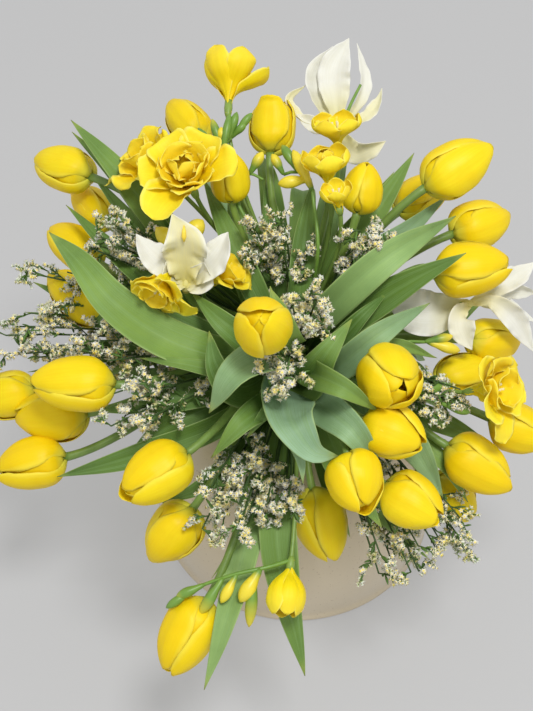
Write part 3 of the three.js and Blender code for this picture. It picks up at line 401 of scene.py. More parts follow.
# -------------------- leaves
# Broad tulip leaves, blue-green and fleshy, folded along the middle rib, with fine lines
# along them and a thin pale edge. They grow from the stalks and arch out between the heads.
# Path of the middle rib as seen (x, y, near), width in mm, turn of the face in degrees and,
# for some, the kind of green: 0 deep, 0.5 fresh, 1 blue-grey. The kind is partly each leaf's
# own green and partly painted light: leaves that catch the light get the paler kinds, brighter
# than a leaf's own colour as a painted sheen, and leaves in shade get the deep green.
LEAVES = [
    (((170, 232, 90), (120, 172, 105), (71, 120, 70)), 27, 20, 0.3),
    (((185, 262, 80), (130, 190, 85), (72, 132, 45)), 22, -20, 0.1),
    (((160, 250, 90), (91, 173, 60)), 18, 10, 0.35),
    (((150, 280, 100), (66, 205, 50)), 20, 25),
    (((205, 352, 150), (158, 333, 152), (112, 300, 160), (80, 262, 148), (49, 232, 110)), 35, 12, 0.38),
    (((170, 345, 110), (33, 282, 50)), 22, -15),
    (((262, 356, 200), (232, 374, 225), (209, 413, 190)), 39, 30, 0.8),
    (((242, 388, 150), (216, 366, 190), (209, 331, 180)), 34, -18, 0.12),
    (((225, 370, 150), (180, 363, 165), (140, 358, 140)), 15, 30),
    (((286, 345, 150), (276, 312, 200), (270, 286, 200)), 24, 0, 0.5),
    (((304, 385, 150), (326, 354, 195), (352, 319, 185)), 32, -10, 0.3),
    (((312, 374, 180), (343, 388, 210), (379, 412, 180)), 25, 20, 0.45),
    (((288, 398, 180), (295, 426, 222), (314, 452, 216), (338, 456, 196)), 44, -8, 1),
    (((292, 430, 200), (301, 460, 200), (303, 484, 192)), 22, 0, 0.9),
    (((318, 402, 160), (352, 430, 195), (382, 474, 165)), 31, 4, 0.88),
    (((332, 372, 150), (378, 336, 185), (430, 303, 150)), 25, 20, 0.85),
    (((330, 350, 130), (362, 316, 155), (388, 292, 140)), 18, -20),
    (((340, 372, 120), (392, 346, 150), (437, 358, 120)), 16, 10),
    (((318, 322, 130), (382, 262, 165), (456, 216, 125)), 29, 12, 0.62),
    (((328, 335, 115), (402, 286, 154), (466, 253, 178)), 27, -12, 0.12),
    (((350, 272, 95), (408, 230, 105), (447, 196, 90)), 21, 10, 0.9),
    (((345, 262, 85), (385, 198, 90), (414, 153, 65)), 22, -10, 0.3),
    (((332, 255, 70), (366, 212, 75), (394, 172, 60)), 16, 15),
    (((300, 300, 105), (305, 235, 105), (312, 182, 85)), 22, 10, 0.12),
    (((275, 300, 95), (272, 230, 95), (266, 178, 70)), 24, -15, 0.12),
    (((262, 305, 110), (228, 232, 115), (203, 178, 85)), 22, 15, 0.2),
    (((250, 300, 80), (236, 220, 85), (231, 172, 60)), 18, -10),
    (((262, 350, 145), (226, 325, 165), (191, 292, 145)), 27, -20, 0.2),
    (((268, 402, 150), (240, 424, 180), (211, 458, 160)), 25, 20, 0.25),
    (((280, 400, 150), (264, 415, 175), (247, 438, 165)), 18, -15),
    (((220, 425, 120), (140, 455, 130), (57, 477, 95)), 22, -10),
    (((240, 450, 110), (205, 484, 125), (162, 503, 105)), 18, 10),
    (((272, 425, 85), (254, 505, 122), (237, 578, 143), (222, 632, 162), (204, 690, 152)), 26, 10, 0.6),
    (((282, 425, 95), (277, 500, 130), (281, 565, 140), (305, 676, 110)), 31, -10, 0.22),
    (((320, 420, 120), (346, 475, 160), (382, 528, 145)), 30, 25, 0.4),
    (((330, 425, 90), (370, 498, 115), (411, 545, 95)), 22, 0, 0.55),
    (((318, 445, 60), (335, 500, 80), (350, 537, 60)), 15, 0),
    (((365, 405, 110), (408, 440, 135), (443, 497, 105)), 30, 20, 0.8),
    (((380, 415, 80), (440, 458, 105), (468, 502, 85)), 17, -10, 0.5),
    (((380, 400, 60), (440, 422, 80), (497, 449, 65)), 20, 0),
    (((180, 300, 60), (110, 280, 45), (60, 250, 0)), 22, 0),
    (((380, 330, 60), (430, 330, 60), (480, 305, 20)), 22, 0),
    (((292, 345, 200), (283, 312, 226), (270, 288, 226)), 27, 0, 0.5),
    (((262, 505, 120), (235, 545, 135), (212, 578, 120)), 8, 0, 0.55),
    (((228, 345, 120), (188, 324, 132), (138, 298, 122)), 22, 10, 0.1),
    (((230, 385, 110), (170, 398, 122), (100, 412, 90)), 26, 15, 0.08),
    (((228, 400, 105), (175, 424, 115), (128, 455, 85)), 27, -15, 0.12),
    (((215, 350, 90), (140, 345, 80), (50, 348, 35)), 13, 20, 0.05),
    (((220, 370, 80), (140, 376, 70), (70, 378, 35)), 13, -20, 0.1),
    (((200, 330, 60), (110, 322, 40), (25, 312, 10)), 11, 20, 0.1),
    (((205, 340, 60), (110, 360, 45), (28, 372, 15)), 12, 0, 0.05),
    (((190, 300, 50), (125, 262, 30), (75, 236, 5)), 14, 0, 0.1),
    (((350, 400, 90), (400, 430, 95), (446, 440, 80)), 14, 15, 0.1),
    (((330, 440, 70), (385, 520, 90), (430, 560, 70)), 12, 0, 0.1),
]
# The leaves behind, which the view doesn't show: which way they grow in degrees, how far out
# and up from the vase's neck they end in mm, and their width.
BACK_LEAVES = [
    (60, 190, 60, 26), (88, 205, 20, 24), (118, 195, 70, 28), (150, 190, 10, 24),
    (30, 180, 15, 24), (103, 165, 120, 22), (74, 160, 130, 22), (8, 175, -10, 24),
    (172, 180, -15, 26), (45, 130, -20, 36), (88, 125, -25, 38), (130, 135, -20, 36),
    (188, 130, -25, 32), (352, 130, -25, 32), (18, 125, -28, 34), (162, 125, -28, 34),
]
# Short leaves that fill the heart of the bunch: how many, reach, rise, width and turn.
FILLERS = 30
FILLER_REACH, FILLER_RISE, FILLER_WIDTH, FILLER_TURN = (62, 116), (-10, 50), (16, 24), (-40, 40)
# Along a leaf, its share of the full width.
LEAF_WIDTHS = (
    (0, 0.26), (0.15, 0.6), (0.3, 0.86), (0.45, 0.99), (0.6, 0.95), (0.8, 0.6), (0.93, 0.24), (1, 0.015))
LEAF_ROWS, FILLER_ROWS, BACK_ROWS, BLADE_COLUMNS = 38, 20, 30, 15


def eased(pairs, t):
    """A smooth value through pairs of place and value."""
    x, y = np.array(pairs, dtype=float).T
    slope = np.gradient(y, x)
    k = np.clip(np.searchsorted(x, t, side="right") - 1, 0, len(x) - 2)
    h = x[k + 1] - x[k]
    s = (t - x[k]) / h
    rise = y[k] * (1 + 2 * s) * (1 - s) ** 2 + y[k + 1] * s * s * (3 - 2 * s)
    return rise + h * (slope[k] * s * (1 - s) ** 2 - slope[k + 1] * s * s * (1 - s))


def thin_part(rows, thickness, tone):
    """A closed thin sheet over rows of points, thinner at its edges."""
    along, across = np.gradient(rows, axis=0), np.gradient(rows, axis=1)
    normal = np.cross(along, across)
    normal /= np.linalg.norm(normal, axis=2)[..., None] + 1e-9
    count, width = rows.shape[:2]
    edge = np.abs(np.linspace(-1, 1, width))
    half = 0.5 * thickness * (1 - 0.65 * edge ** 4)[None, :, None]
    points = np.vstack([(rows + normal * half).reshape(-1, 3), (rows - normal * half).reshape(-1, 3)])
    number = np.arange(count * width).reshape(count, width)
    corners = (number[:-1, :-1], number[1:, :-1], number[1:, 1:], number[:-1, 1:])
    a, b, c, d = (n.ravel() for n in corners)
    back = count * width
    rim = np.concatenate([number[:, 0], number[-1, 1:], number[-2::-1, -1], number[0, -2:0:-1]])
    after = np.roll(rim, -1)
    faces = np.vstack([
        np.stack([a, b, c, d], 1), np.stack([d, c, b, a], 1) + back,
        np.stack([after, rim, rim + back, after + back], 1),
    ])
    place = np.meshgrid(np.linspace(0, 1, width), np.linspace(0, 1, count))
    place = np.stack(place, axis=-1).reshape(-1, 2)
    faces = [tuple(f) for f in faces.tolist()]
    tones, under = np.full(2 * back, tone), np.repeat([0.0, 1.0], back)
    return points, faces, np.vstack([place, place]), tones, under, 0


def blade_part(points, width, turn, facing, random, widths=LEAF_WIDTHS, keel=0.34, waves=1.0, thickness=1.0,
               tone=None, rows=LEAF_ROWS, ruffle=0.0):
    """A long sheet along points: keel folds it down its middle, waves ripples its edges and
    ruffle crimps them."""
    line = smooth_line(points, rows)
    t = np.linspace(0, 1, len(line))
    way = np.gradient(line, axis=0)
    way /= np.linalg.norm(way, axis=1)[:, None]
    face = facing - way * (way @ facing)[:, None]
    face /= np.linalg.norm(face, axis=1)[:, None]
    angle = np.radians(turn + waves * random.uniform(-16, 16) * (t - 0.3))[:, None]
    face = face * np.cos(angle) + np.cross(way, face) * np.sin(angle)
    side = np.cross(way, face)
    s = np.linspace(-1, 1, BLADE_COLUMNS)
    half = 0.5 * width * eased(widths, t)
    fold = keel * half[:, None] * (np.abs(s) ** 1.4 - 1)[None]
    phase = random.uniform(0, 6.3, 2)
    count = random.uniform(1.3, 2.4)
    ripple = [0.07 * width * waves * np.sin(2 * math.pi * count * t + p) * np.sin(math.pi * t) for p in phase]
    wave = np.where(s[None] < 0, ripple[0][:, None], ripple[1][:, None]) * (s ** 2)[None]
    starts = np.where(s < 0, phase[0], phase[1])[None]
    crimp = np.sin(2 * math.pi * 6.5 * t[:, None] + starts + 2.0 * s[None])
    wave = wave + ruffle * crimp * (np.abs(s) ** 3)[None] * np.sin(math.pi * t ** 0.7)[:, None]
    sheet = line[:, None] + side[:, None] * (half[:, None] * s[None])[..., None]
    sheet = sheet + face[:, None] * (fold + wave)[..., None]
    return thin_part(sheet, thickness, random.uniform(0, 1) if tone is None else tone)


def sheet_pattern(paint, across, along, scale, detail):
    """Fine lines along a sheet, how far a place is off its middle and how far along it."""
    sheet = add_node(paint, "ShaderNodeUVMap", uv_map="sheet")[0]
    lines = add_node(paint, "ShaderNodeMapping", {"Vector": sheet, "Scale": (across, along, 1)})[0]
    lines = add_node(paint, "ShaderNodeTexNoise", {"Vector": lines, "Scale": scale, "Detail": detail})[0]
    flat = add_node(paint, "ShaderNodeSeparateXYZ", {0: sheet})
    off = add_node(paint, "ShaderNodeMath", {0: flat[0], 1: 0.5}, operation="SUBTRACT")[0]
    return lines, add_node(paint, "ShaderNodeMath", {0: off}, operation="ABSOLUTE")[0], flat[1]


leaf_green = new_paint("leaf_green", 0.5, 0.36)
lines, off_rib, along = sheet_pattern(leaf_green, 34, 1.2, 1.6, 3.0)
patch = object_noise(leaf_green, 22, 3.0)
kind = attribute(leaf_green, "tone")
underside = level(leaf_green, attribute(leaf_green, "under"), 0, 1, 0.35, 0)
# The green by kind: the fresh and blue-grey greens are brighter than a leaf's own colour, a painted sheen,
# and each leaf's kind is partly painted light or shade.
green = tinted(leaf_green, (0.078, 0.17, 0.015), (0.27, 0.42, 0.08), kind, 0.0, 0.5)
green = tinted(leaf_green, green, (0.34, 0.52, 0.33), kind, 0.5, 1.0)
green = tinted(leaf_green, green, (0.05, 0.12, 0.022), patch, 0.35, 0.7, 0.45)
green = tinted(leaf_green, green, (0.2, 0.34, 0.12), lines, 0.45, 0.72, 0.7)
green = colour_mix(leaf_green, underside, green, (0.24, 0.38, 0.19))
green = tinted(leaf_green, green, (0.26, 0.42, 0.15), off_rib, 0.03, 0.0, 0.4)
green = tinted(leaf_green, green, (0.36, 0.48, 0.16), off_rib, 0.465, 0.5, 0.75)
green = tinted(leaf_green, green, (0.38, 0.44, 0.08), along, 0.94, 1.0, 0.7)
shade(leaf_green, {"Base Color": green, "Roughness": level(leaf_green, patch, 0.3, 0.7, 0.46, 0.6)})
bumped(leaf_green, lines, 0.6, 0.0008)


def rooted(path):
    return [heart_point(path[0])] + path


def arched(turn, reach, rises):
    """A leaf's way out from the neck: shares of its reach and how high it is there."""
    outward = np.array([math.cos(turn), math.sin(turn), 0])
    return rooted([NECK + outward * reach * share + UP * rise for share, rise in rises])


random = np.random.default_rng(7)
leaves = []
for path, width, turn, *kind in LEAVES:
    kind = kind[0] if kind else random.uniform(0, 0.45)
    leaves.append(blade_part(rooted([seen(*p) for p in path]), width, turn, VIEW_NEAR, random, tone=kind))
for k in range(FILLERS):
    reach, rise = random.uniform(*FILLER_REACH), random.uniform(*FILLER_RISE)
    path = arched(GOLDEN_TURN * k, reach, ((0.5, 28 + 0.5 * rise), (0.76, 24 + 0.8 * rise), (1, rise)))
    width, turn = random.uniform(*FILLER_WIDTH), random.uniform(*FILLER_TURN)
    # Heart leaves keep to the deep greens: partly their own colour, partly painted shade for the crowded
    # heart.
    tone = random.uniform(0, 0.15)
    leaves.append(blade_part(path, width, turn, UP, random, waves=1.8, tone=tone, rows=FILLER_ROWS))
for angle, reach, rise, width in BACK_LEAVES:
    crest = 0.3 * reach
    path = ((0.52, crest + 0.4 * rise), (0.76, crest + 0.7 * rise), (1, rise))
    leaves.append(blade_part(arched(math.radians(angle), reach, path), width, 0, UP, random, rows=BACK_ROWS))
leaves_piece = joined_piece("leaves", leaves, [leaf_green])
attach(leaves_piece, "root")
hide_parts("foliage")

# -------------------- tulips
# Thirty tulip heads, bright yellow. Each has three outer petals lapped over three inner
# ones, waxy and cupped, with a faint groove down the middle, greenish at the very foot. The
# folded head has one petal that has opened right out towards the eye.
TULIP_RADIUS = 21.5
FOLDED_HEAD = "tulip_29"
# Up a petal, its radius in shares of the head's, and its half width in mm.
TULIP_PROFILE = (
    (0, 0.14), (0.03, 0.4), (0.08, 0.66), (0.16, 0.87), (0.3, 1.0), (0.46, 1.0), (0.64, 0.93),
    (0.8, 0.76), (0.92, 0.53), (1, 0.28))
TULIP_WIDTHS = (
    (0, 4), (0.04, 9), (0.12, 15.5), (0.28, 21.5), (0.5, 23.5), (0.68, 22.5), (0.82, 19), (0.92, 14),
    (0.97, 9.5), (1, 3))
# Of outer and inner petals: lean of the tip, share of the head's length, lap, flare, groove.
OUTER, INNERS = ((-0.14, 0.06), (0.93, 1.02), 1.3, 0.8, 0.8), ((-0.36, -0.26), (0.92, 0.97), 0.8, 0.2, 0.4)
PETAL_COLUMNS, TULIP_ROWS, TULIP_THICK, OPEN_ENOUGH = 17, 32, 0.8, 0.3
STAMEN = ((3, 0.04), (6, 0.25), (7, 0.37), (7, 0.42))


def petal_part(bloom, turn, line, halves, wraps, thickness, tone, lift, lap, flare, ruffle, groove, rows):
    """A petal: line gives radius and height up its middle, halves its half width, wraps the
    radius of the arc across it. lap raises one edge over the next petal, flare both."""
    t = np.linspace(0, 1, rows)
    radius, height = (eased([(p[0], p[k]) for p in line], t) for k in (1, 2))
    half, wrap = eased(halves, t), eased(wraps, t)
    dr, dz = np.gradient(radius), np.gradient(height)
    steep = np.hypot(dr, dz) + 1e-9
    s = np.linspace(-1, 1, PETAL_COLUMNS)
    bend = s[None] * (half / wrap)[:, None]
    sideways = wrap[:, None] * np.sin(bend)
    inward = wrap[:, None] * (1 - np.cos(bend))
    swell = np.sin(math.pi * t) ** 0.7
    rim = lap * s + flare * np.abs(s) ** 3 - groove * np.exp(-(s / 0.14) ** 2)
    out = -inward + lift + swell[:, None] * rim[None]
    for count in (2.0, 3.7, 6.1):
        phases = bloom["random"].uniform(0, 6.3, 2)
        left, right = (np.sin(6.3 * count * t + phase)[:, None] for phase in phases)
        ripple = np.where(s[None] < 0, left, right)
        out = out + ruffle * ripple * (s ** 2)[None] * t[:, None] / math.sqrt(count)
    r = radius[:, None] + out * (dz / steep)[:, None]
    z = height[:, None] - out * (dr / steep)[:, None]
    x = r * math.cos(turn) - sideways * math.sin(turn)
    y = r * math.sin(turn) + sideways * math.cos(turn)
    side, third, axis = bloom["frame"]
    points = bloom["foot"] + x[..., None] * side + y[..., None] * third + z[..., None] * axis
    return thin_part(points, thickness, tone)


def in_bloom(bloom, points):
    side, third, axis = bloom["frame"]
    return [bloom["foot"] + x * side + y * third + z * axis for x, y, z in points]


def petal_paint(name, foot, low, high, rim, shadow, through, roughness=0.42, lines_at=46, glow=0.28,
                inset=0.36, foot_share=0.11, pale=0.0):
    """Waxy petal: foot colour up to foot_share, body, paler tip, rim from inset outwards, darker
    lines and patches, and light let through."""
    paint = new_paint(name, roughness, 0.22)
    lines, off, along = sheet_pattern(paint, lines_at, 1.6, 1.3, 4.0)
    body = colour_mix(paint, attribute(paint, "tone"), low, high)
    body = tinted(paint, body, shadow, lines, 0.4, 0.75, 0.45)
    body = tinted(paint, body, shadow, object_noise(paint, 60, 2.0), 0.45, 0.75, 0.35)
    body = tinted(paint, body, rim, off, inset, 0.5, 0.7)
    body = tinted(paint, body, rim, along, 0.6, 1.0, pale)
    body = tinted(paint, body, foot, along, foot_share, 0.0)
    shader = shade(paint, {"Base Color": body})
    bumped(paint, lines, 0.3, 0.0007)
    glowing = add_node(paint, "ShaderNodeBsdfTranslucent", {"Color": colour_mix(paint, 0.6, body, through)})
    mix = add_node(paint, "ShaderNodeMixShader", {0: glow, 1: shader.outputs[0], 2: glowing[0]})
    set_inputs(paint.node_tree, paint.node_tree.nodes["Material Output"], {"Surface": mix[0]})
    return paint


tulip_yellow = petal_paint(
    "tulip_yellow", (0.8, 0.76, 0.08), (0.98, 0.72, 0.006), (0.99, 0.8, 0.014), (1.0, 0.88, 0.09),
    (0.95, 0.63, 0.003), (1.0, 0.8, 0.01), glow=0.15)
pistil_green = mottled_paint("pistil_green", 0.5, 300, (0.35, 0.42, 0.08), (0.55, 0.56, 0.16))
pollen = mottled_paint("pollen_ochre", 0.85, 900, (0.45, 0.24, 0.02), (0.75, 0.46, 0.05))


def tulip_parts(bloom):
    length, wide, draw = bloom["length"], bloom["size"], bloom["random"].uniform
    girth = TULIP_RADIUS * bloom["girth"][0]
    side, third, _ = bloom["frame"]
    folded = None
    if bloom["node"] == FOLDED_HEAD:
        folded = 2 * round(math.atan2(VIEW_NEAR @ third, VIEW_NEAR @ side) / (2 * math.pi / 3)) % 6
    parts = []
    for k in (1, 3, 5, 0, 2, 4):
        outer = k % 2 == 0
        lean, tall, lap, flare, groove = OUTER if outer else INNERS
        lean, tall = draw(*lean), length * draw(*tall)
        if k == folded:
            lean, tall = 1.0, 0.72 * length
        line = [
            (t, girth * (r * (1 + 0.3 * wide * t * t) + (lean + wide * draw(0.4, 0.9)) * t ** 4), tall * t)
            for t, r in TULIP_PROFILE]
        fat = draw(0.96, 1.06) * (1.0 if outer else 0.95) * girth / TULIP_RADIUS
        halves = [(t, h * fat) for t, h in TULIP_WIDTHS]
        wraps = [(t, max(girth * r * (1 + 0.45 * wide * t), 8.0 - 3 * (t < 0.04))) for t, r in TULIP_PROFILE]
        turn = math.radians(60 * k) + draw(-0.09, 0.09)
        lift = 0.5 + 0.35 * (k // 2) if outer else -1.5 + 0.3 * (k // 2)
        parts.append(petal_part(
            bloom, turn, line, halves, wraps, TULIP_THICK, draw(0, 1), lift, lap, flare, 0.45, groove,
            TULIP_ROWS))
    if wide >= OPEN_ENOUGH:
        pistil = in_bloom(bloom, [(0, 0, 1), (0, 0, 0.3 * length), (0, 0, 0.42 * length)])
        parts.append(rod_part(pistil, (3, 3.4, 4.4), 9, 1))
        for k in range(6):
            c, s = math.cos(k * math.pi / 3 + 0.4), math.sin(k * math.pi / 3 + 0.4)
            stamen = in_bloom(bloom, [(r * c, r * s, share * length) for r, share in STAMEN])
            parts.append(rod_part(stamen[:2], 0.8, 6, 1))
            parts.append(rod_part(stamen[1:], (1.0, 1.7, 0.7), 6, 2))
    return parts


for bloom in [b for b in blooms if b["kind"] == "tulip"]:
    parts = tulip_parts(bloom)
    head = joined_piece(bloom["node"] + "_petals", parts, [tulip_yellow, pistil_green, pollen])
    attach(head, "root")
    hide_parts(bloom["node"])

# -------------------- freesias
# Freesia blooms: a slim tube in a green calyx opens to six rounded petals, and more inside
# in the double ones, with cream rims, an orange throat and three pale stamens. Each whorl:
# along the petal its radius and height, then its half width, in shares of the bloom's own.
CUP = (
    ((0, 1.6, 0), (0.3, 3.2, 0.3), (0.5, 0.38, 0.48), (0.7, 0.84, 0.66), (0.86, 1.0, 0.84), (1, 0.9, 1.04)),
    ((0, 0.06), (0.3, 0.14), (0.5, 0.42), (0.74, 0.66), (0.88, 0.56), (0.96, 0.32), (1, 0.06)))
WIDE = (
    ((0, 1.6, 0), (0.3, 3.2, 0.34), (0.5, 0.32, 0.56), (0.68, 0.7, 0.75), (0.88, 1.02, 0.9), (1, 1.16, 0.9)),
    ((0, 0.06), (0.3, 0.12), (0.5, 0.36), (0.72, 0.62), (0.88, 0.52), (0.96, 0.3), (1, 0.05)))
HEARTED = (
    ((0, 1.6, 0), (0.3, 3.0, 0.34), (0.5, 0.28, 0.58), (0.7, 0.46, 0.8), (0.88, 0.56, 0.98), (1, 0.62, 1.08)),
    ((0, 0.05), (0.3, 0.1), (0.5, 0.26), (0.74, 0.46), (0.92, 0.34), (1, 0.05)))
BUD = (
    ((0, 1.6, 0), (0.3, 3.2, 0.26), (0.5, 0.74, 0.5), (0.7, 0.96, 0.74), (0.86, 0.9, 0.98), (1, 0.6, 1.2)),
    ((0, 0.06), (0.3, 0.2), (0.5, 0.56), (0.72, 0.78), (0.86, 0.7), (0.95, 0.44), (1, 0.1)))
INNER = (
    ((0, 1.4, 0), (0.3, 2.6, 0.34), (0.5, 0.16, 0.58), (0.7, 0.26, 0.8), (0.88, 0.26, 0.96), (1, 0.12, 1.04)),
    ((0, 0.05), (0.3, 0.08), (0.5, 0.18), (0.74, 0.34), (0.92, 0.26), (1, 0.04)))
# Whorls of each bloom, how ragged they are and, in some, where one petal springs to as seen.
FREESIA_FORMS = [
    ((CUP,), 0.5, (1, 0)),
    ((WIDE, HEARTED, INNER), 1.0, (-0.2, -1)),
    ((WIDE, HEARTED), 1.2, (-1, -0.4)),
    ((CUP,), 0.5, None),
    ((CUP, INNER), 0.5, None),
    ((CUP,), 0.3, None),
    ((WIDE, HEARTED), 1.0, (0.3, -1)),
    ((WIDE, HEARTED), 0.6, (1, 0.8)),
    ((BUD, INNER), 0.1, None),
    ((WIDE, HEARTED), 0.9, (-0.4, -1)),
]
freesia_yellow = petal_paint(
    "freesia_yellow", (0.94, 0.74, 0.02), (0.99, 0.71, 0.004), (1.0, 0.87, 0.014), (1.0, 0.93, 0.2),
    (0.98, 0.68, 0.002), (1.0, 0.8, 0.01), 0.5, 24, 0.15, 0.4, 0.35, 0.2)
stamen_cream = mottled_paint("stamen_cream", 0.6, 700, (0.8, 0.7, 0.3), (0.95, 0.88, 0.6))
FREESIA_ROWS, FREESIA_THICK, SPRUNG_LEAN = 34, 0.6, 0.62
FREESIA_STAMEN = ((1.2, 0.5), (2.2, 0.7), (3, 0.86))


def freesia_parts(bloom, forms, ragged, springs):
    length, flare, draw = bloom["length"], bloom["size"], bloom["random"].uniform
    side, third, _ = bloom["frame"]
    sprung = None
    if springs:
        way = springs[0] * np.array([1.0, 0, 0]) + springs[1] * VIEW_UP
        sprung = round(math.atan2(way @ third, way @ side) / (math.pi / 3)) % 6
    parts = []
    for whorl, (line, halves) in enumerate(forms):
        for k in range(6 - whorl):
            turn = k * 2 * math.pi / (6 - whorl) + 0.5 * whorl + draw(-0.14, 0.14) * ragged
            lean = draw(-0.3, 0.35) * ragged
            if whorl == 0 and k == sprung:
                lean = SPRUNG_LEAN
            grown = draw(0.94 - 0.08 * ragged, 1.05)
            own = [
                (t, r * flare * (grown + lean * (t - 0.3)) if t > 0.4 else r,
                 z * length * (1 - 0.3 * lean * t * t)) for t, r, z in line]
            fat = [(t, h * flare * draw(0.9, 1.08)) for t, h in halves]
            wraps = [(0, 2.2), (0.3, 3.8), (0.5, 0.5 * flare), (0.75, 0.8 * flare), (1, 1.1 * flare)]
            tone, lap = draw(0.4, 1) / (1 + whorl), draw(-2.2, 2.6) * ragged
            edge, ruffle = draw(-0.1, 0.12) * flare * ragged, (0.03 + 0.06 * ragged) * flare
            parts.append(petal_part(
                bloom, turn, own, fat, wraps, FREESIA_THICK, tone, 0.9 * (k % 2), lap, edge, ruffle, 0.5,
                FREESIA_ROWS))
    for k in range(3):
        c, s = math.cos(2.1 * k), math.sin(2.1 * k)
        path = [(r * c, r * s, share * length) for r, share in FREESIA_STAMEN]
        parts.append(rod_part(in_bloom(bloom, path), (0.5, 0.6, 1.1), 6, 1))
    calyx = in_bloom(bloom, [(0, 0, -3), (0, 0, 0), (0, 0, 0.1 * length), (0, 0, 0.24 * length)])
    parts.append(rod_part(calyx, (1.9, 2.9, 3.6, 3.2), 10, 2, 0.1))
    return parts


for bloom, (forms, ragged, springs) in zip([b for b in blooms if b["kind"] == "freesia"], FREESIA_FORMS):
    parts = freesia_parts(bloom, forms, ragged, springs)
    flower = joined_piece(bloom["node"] + "_petals", parts, [freesia_yellow, stamen_cream, stalk_green])
    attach(flower, "root")
    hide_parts(bloom["node"])

# -------------------- freesia buds
# One-sided spikes of shut buds beyond the open blooms: small and green at the end, fatter
# and yellow towards the open flowers. One spike is a bare green end by the first iris, and
# the last only brings two yellow bud tips behind the second iris. Each: whether its stalk
# comes from the heart of the bunch, the stalk as seen, its radius, and its buds: where along
# the stalk, tip as seen with near, radius, how yellow.
BUD_SPIKES = [
    (False, ((291, 560, 150), (268, 567, 156), (236, 574, 158), (203, 585, 154), (190, 591, 152)), 1.8, (
        (0.3, (240, 602, 157), 6.4, 0.9), (0.36, (249, 627, 152), 5, 0.45),
        (0.52, (221, 603, 158), 4.4, 0.85), (0.66, (200, 614, 155), 4.8, 0.4),
        (0.84, (176, 597, 153), 4.2, 0.25), (0.98, (166, 608, 152), 3.7, 0.05))),
    (True, ((262, 250, 110), (236, 200, 108), (222, 165, 104), (224, 146, 98), (238, 132, 97)), 1.8, (
        (0.78, (205, 143, 108), 4.2, 0.7), (0.84, (198, 128, 98), 4, 0.1), (0.9, (212, 119, 98), 3.7, 0.3),
        (0.92, (221, 127, 102), 4, 0.7), (0.95, (237, 112, 100), 3.7, 0.1), (0.98, (252, 113, 100), 3.4, 0),
        (0.86, (230, 113, 101), 3.6, 0), (0.97, (246, 123, 101), 3.4, 0.1),
        (0.8, (213, 136, 104), 3.8, 0.3))),
    (False, ((223, 168, 105), (236, 182, 110), (250, 174, 110), (264, 180, 112)), 1.5, (
        (0.4, (243, 196, 114), 4, 0.5), (0.7, (263, 152, 112), 4.4, 0.6))),
    (True, ((318, 250, 130), (314, 205, 128), (308, 176, 122), (292, 172, 114), (280, 176, 110)), 1.8, (
        (0.8, (293, 150, 120), 5.2, 1), (0.84, (278, 184, 124), 5.4, 1), (0.92, (282, 145, 113), 4.2, 0.2),
        (0.99, (272, 154, 111), 4, 0.6))),
    (True, ((345, 380, 130), (395, 392, 132), (430, 400, 124), (444, 404, 124)), 2, (
        (0.8, (452, 384, 116), 4.2, 0.1), (0.98, (470, 413, 124), 4, 0.15))),
    (True, ((360, 350, 130), (400, 342, 134), (430, 342, 128)), 1.7, (
        (0.96, (453, 336, 128), 3.8, 0.5), (0.99, (460, 351, 124), 4.8, 1))),
    (False, ((338, 138, 92), (350, 106, 84), (361, 84, 78)), 1.6, ()),
    (False, ((186, 266, 124), (184, 252, 130), (182, 242, 134)), 1.6, (
        (0.5, (156, 228, 140), 7.5, 1), (0.9, (203, 220, 138), 7.5, 1))),
]
BUD_SHAPE = (
    (0, 0.3), (0.12, 0.5), (0.28, 0.62), (0.42, 0.84), (0.62, 1.0), (0.84, 0.76), (0.95, 0.4), (1, 0.1))
SPIKE_ROWS, SPIKE_SIDES, BUD_ROWS, BUD_SIDES = 60, 9, 14, 12

bud_skin = new_paint("bud_skin", 0.4)
bloomed = colour_mix(bud_skin, object_noise(bud_skin, 150, 2.0), (0.74, 0.6, 0.02), (0.9, 0.74, 0.06))
leafy = colour_mix(bud_skin, object_noise(bud_skin, 120, 2.0), (0.1, 0.22, 0.03), (0.22, 0.38, 0.06))
shade(bud_skin, {"Base Color": tinted(bud_skin, leafy, bloomed, attribute(bud_skin, "tone"), 0.35, 0.65)})
bumped(bud_skin, object_noise(bud_skin, 260), 0.2, 0.0005)

buds = []
for from_heart, path, thick, shut in BUD_SPIKES:
    path = [seen(*p) for p in path]
    stalk = smooth_line(rooted(path) if from_heart else path, SPIKE_ROWS)
    buds.append(rod_part(stalk[::2], np.linspace(thick, 0.75 * thick, SPIKE_ROWS // 2), SPIKE_SIDES, 0, 0.2))
    for share, tip, radius, yellow in shut:
        low, high = stalk[round((SPIKE_ROWS - 1) * share)], seen(*tip)
        t = np.linspace(0, 1, BUD_ROWS)
        bow = np.sin(math.pi * t)[:, None] * VIEW_NEAR * 0.06 * np.linalg.norm(high - low)
        tones = (0.25 + 0.9 * yellow) * t ** (1.2 - 0.8 * yellow)
        line = low + (high - low) * t[:, None] + bow
        buds.append(rod_part(line, radius * eased(BUD_SHAPE, t), BUD_SIDES, 0, tones))
buds_piece = joined_piece("freesia_buds", buds, [bud_skin])
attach(buds_piece, "root")
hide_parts("foliage")

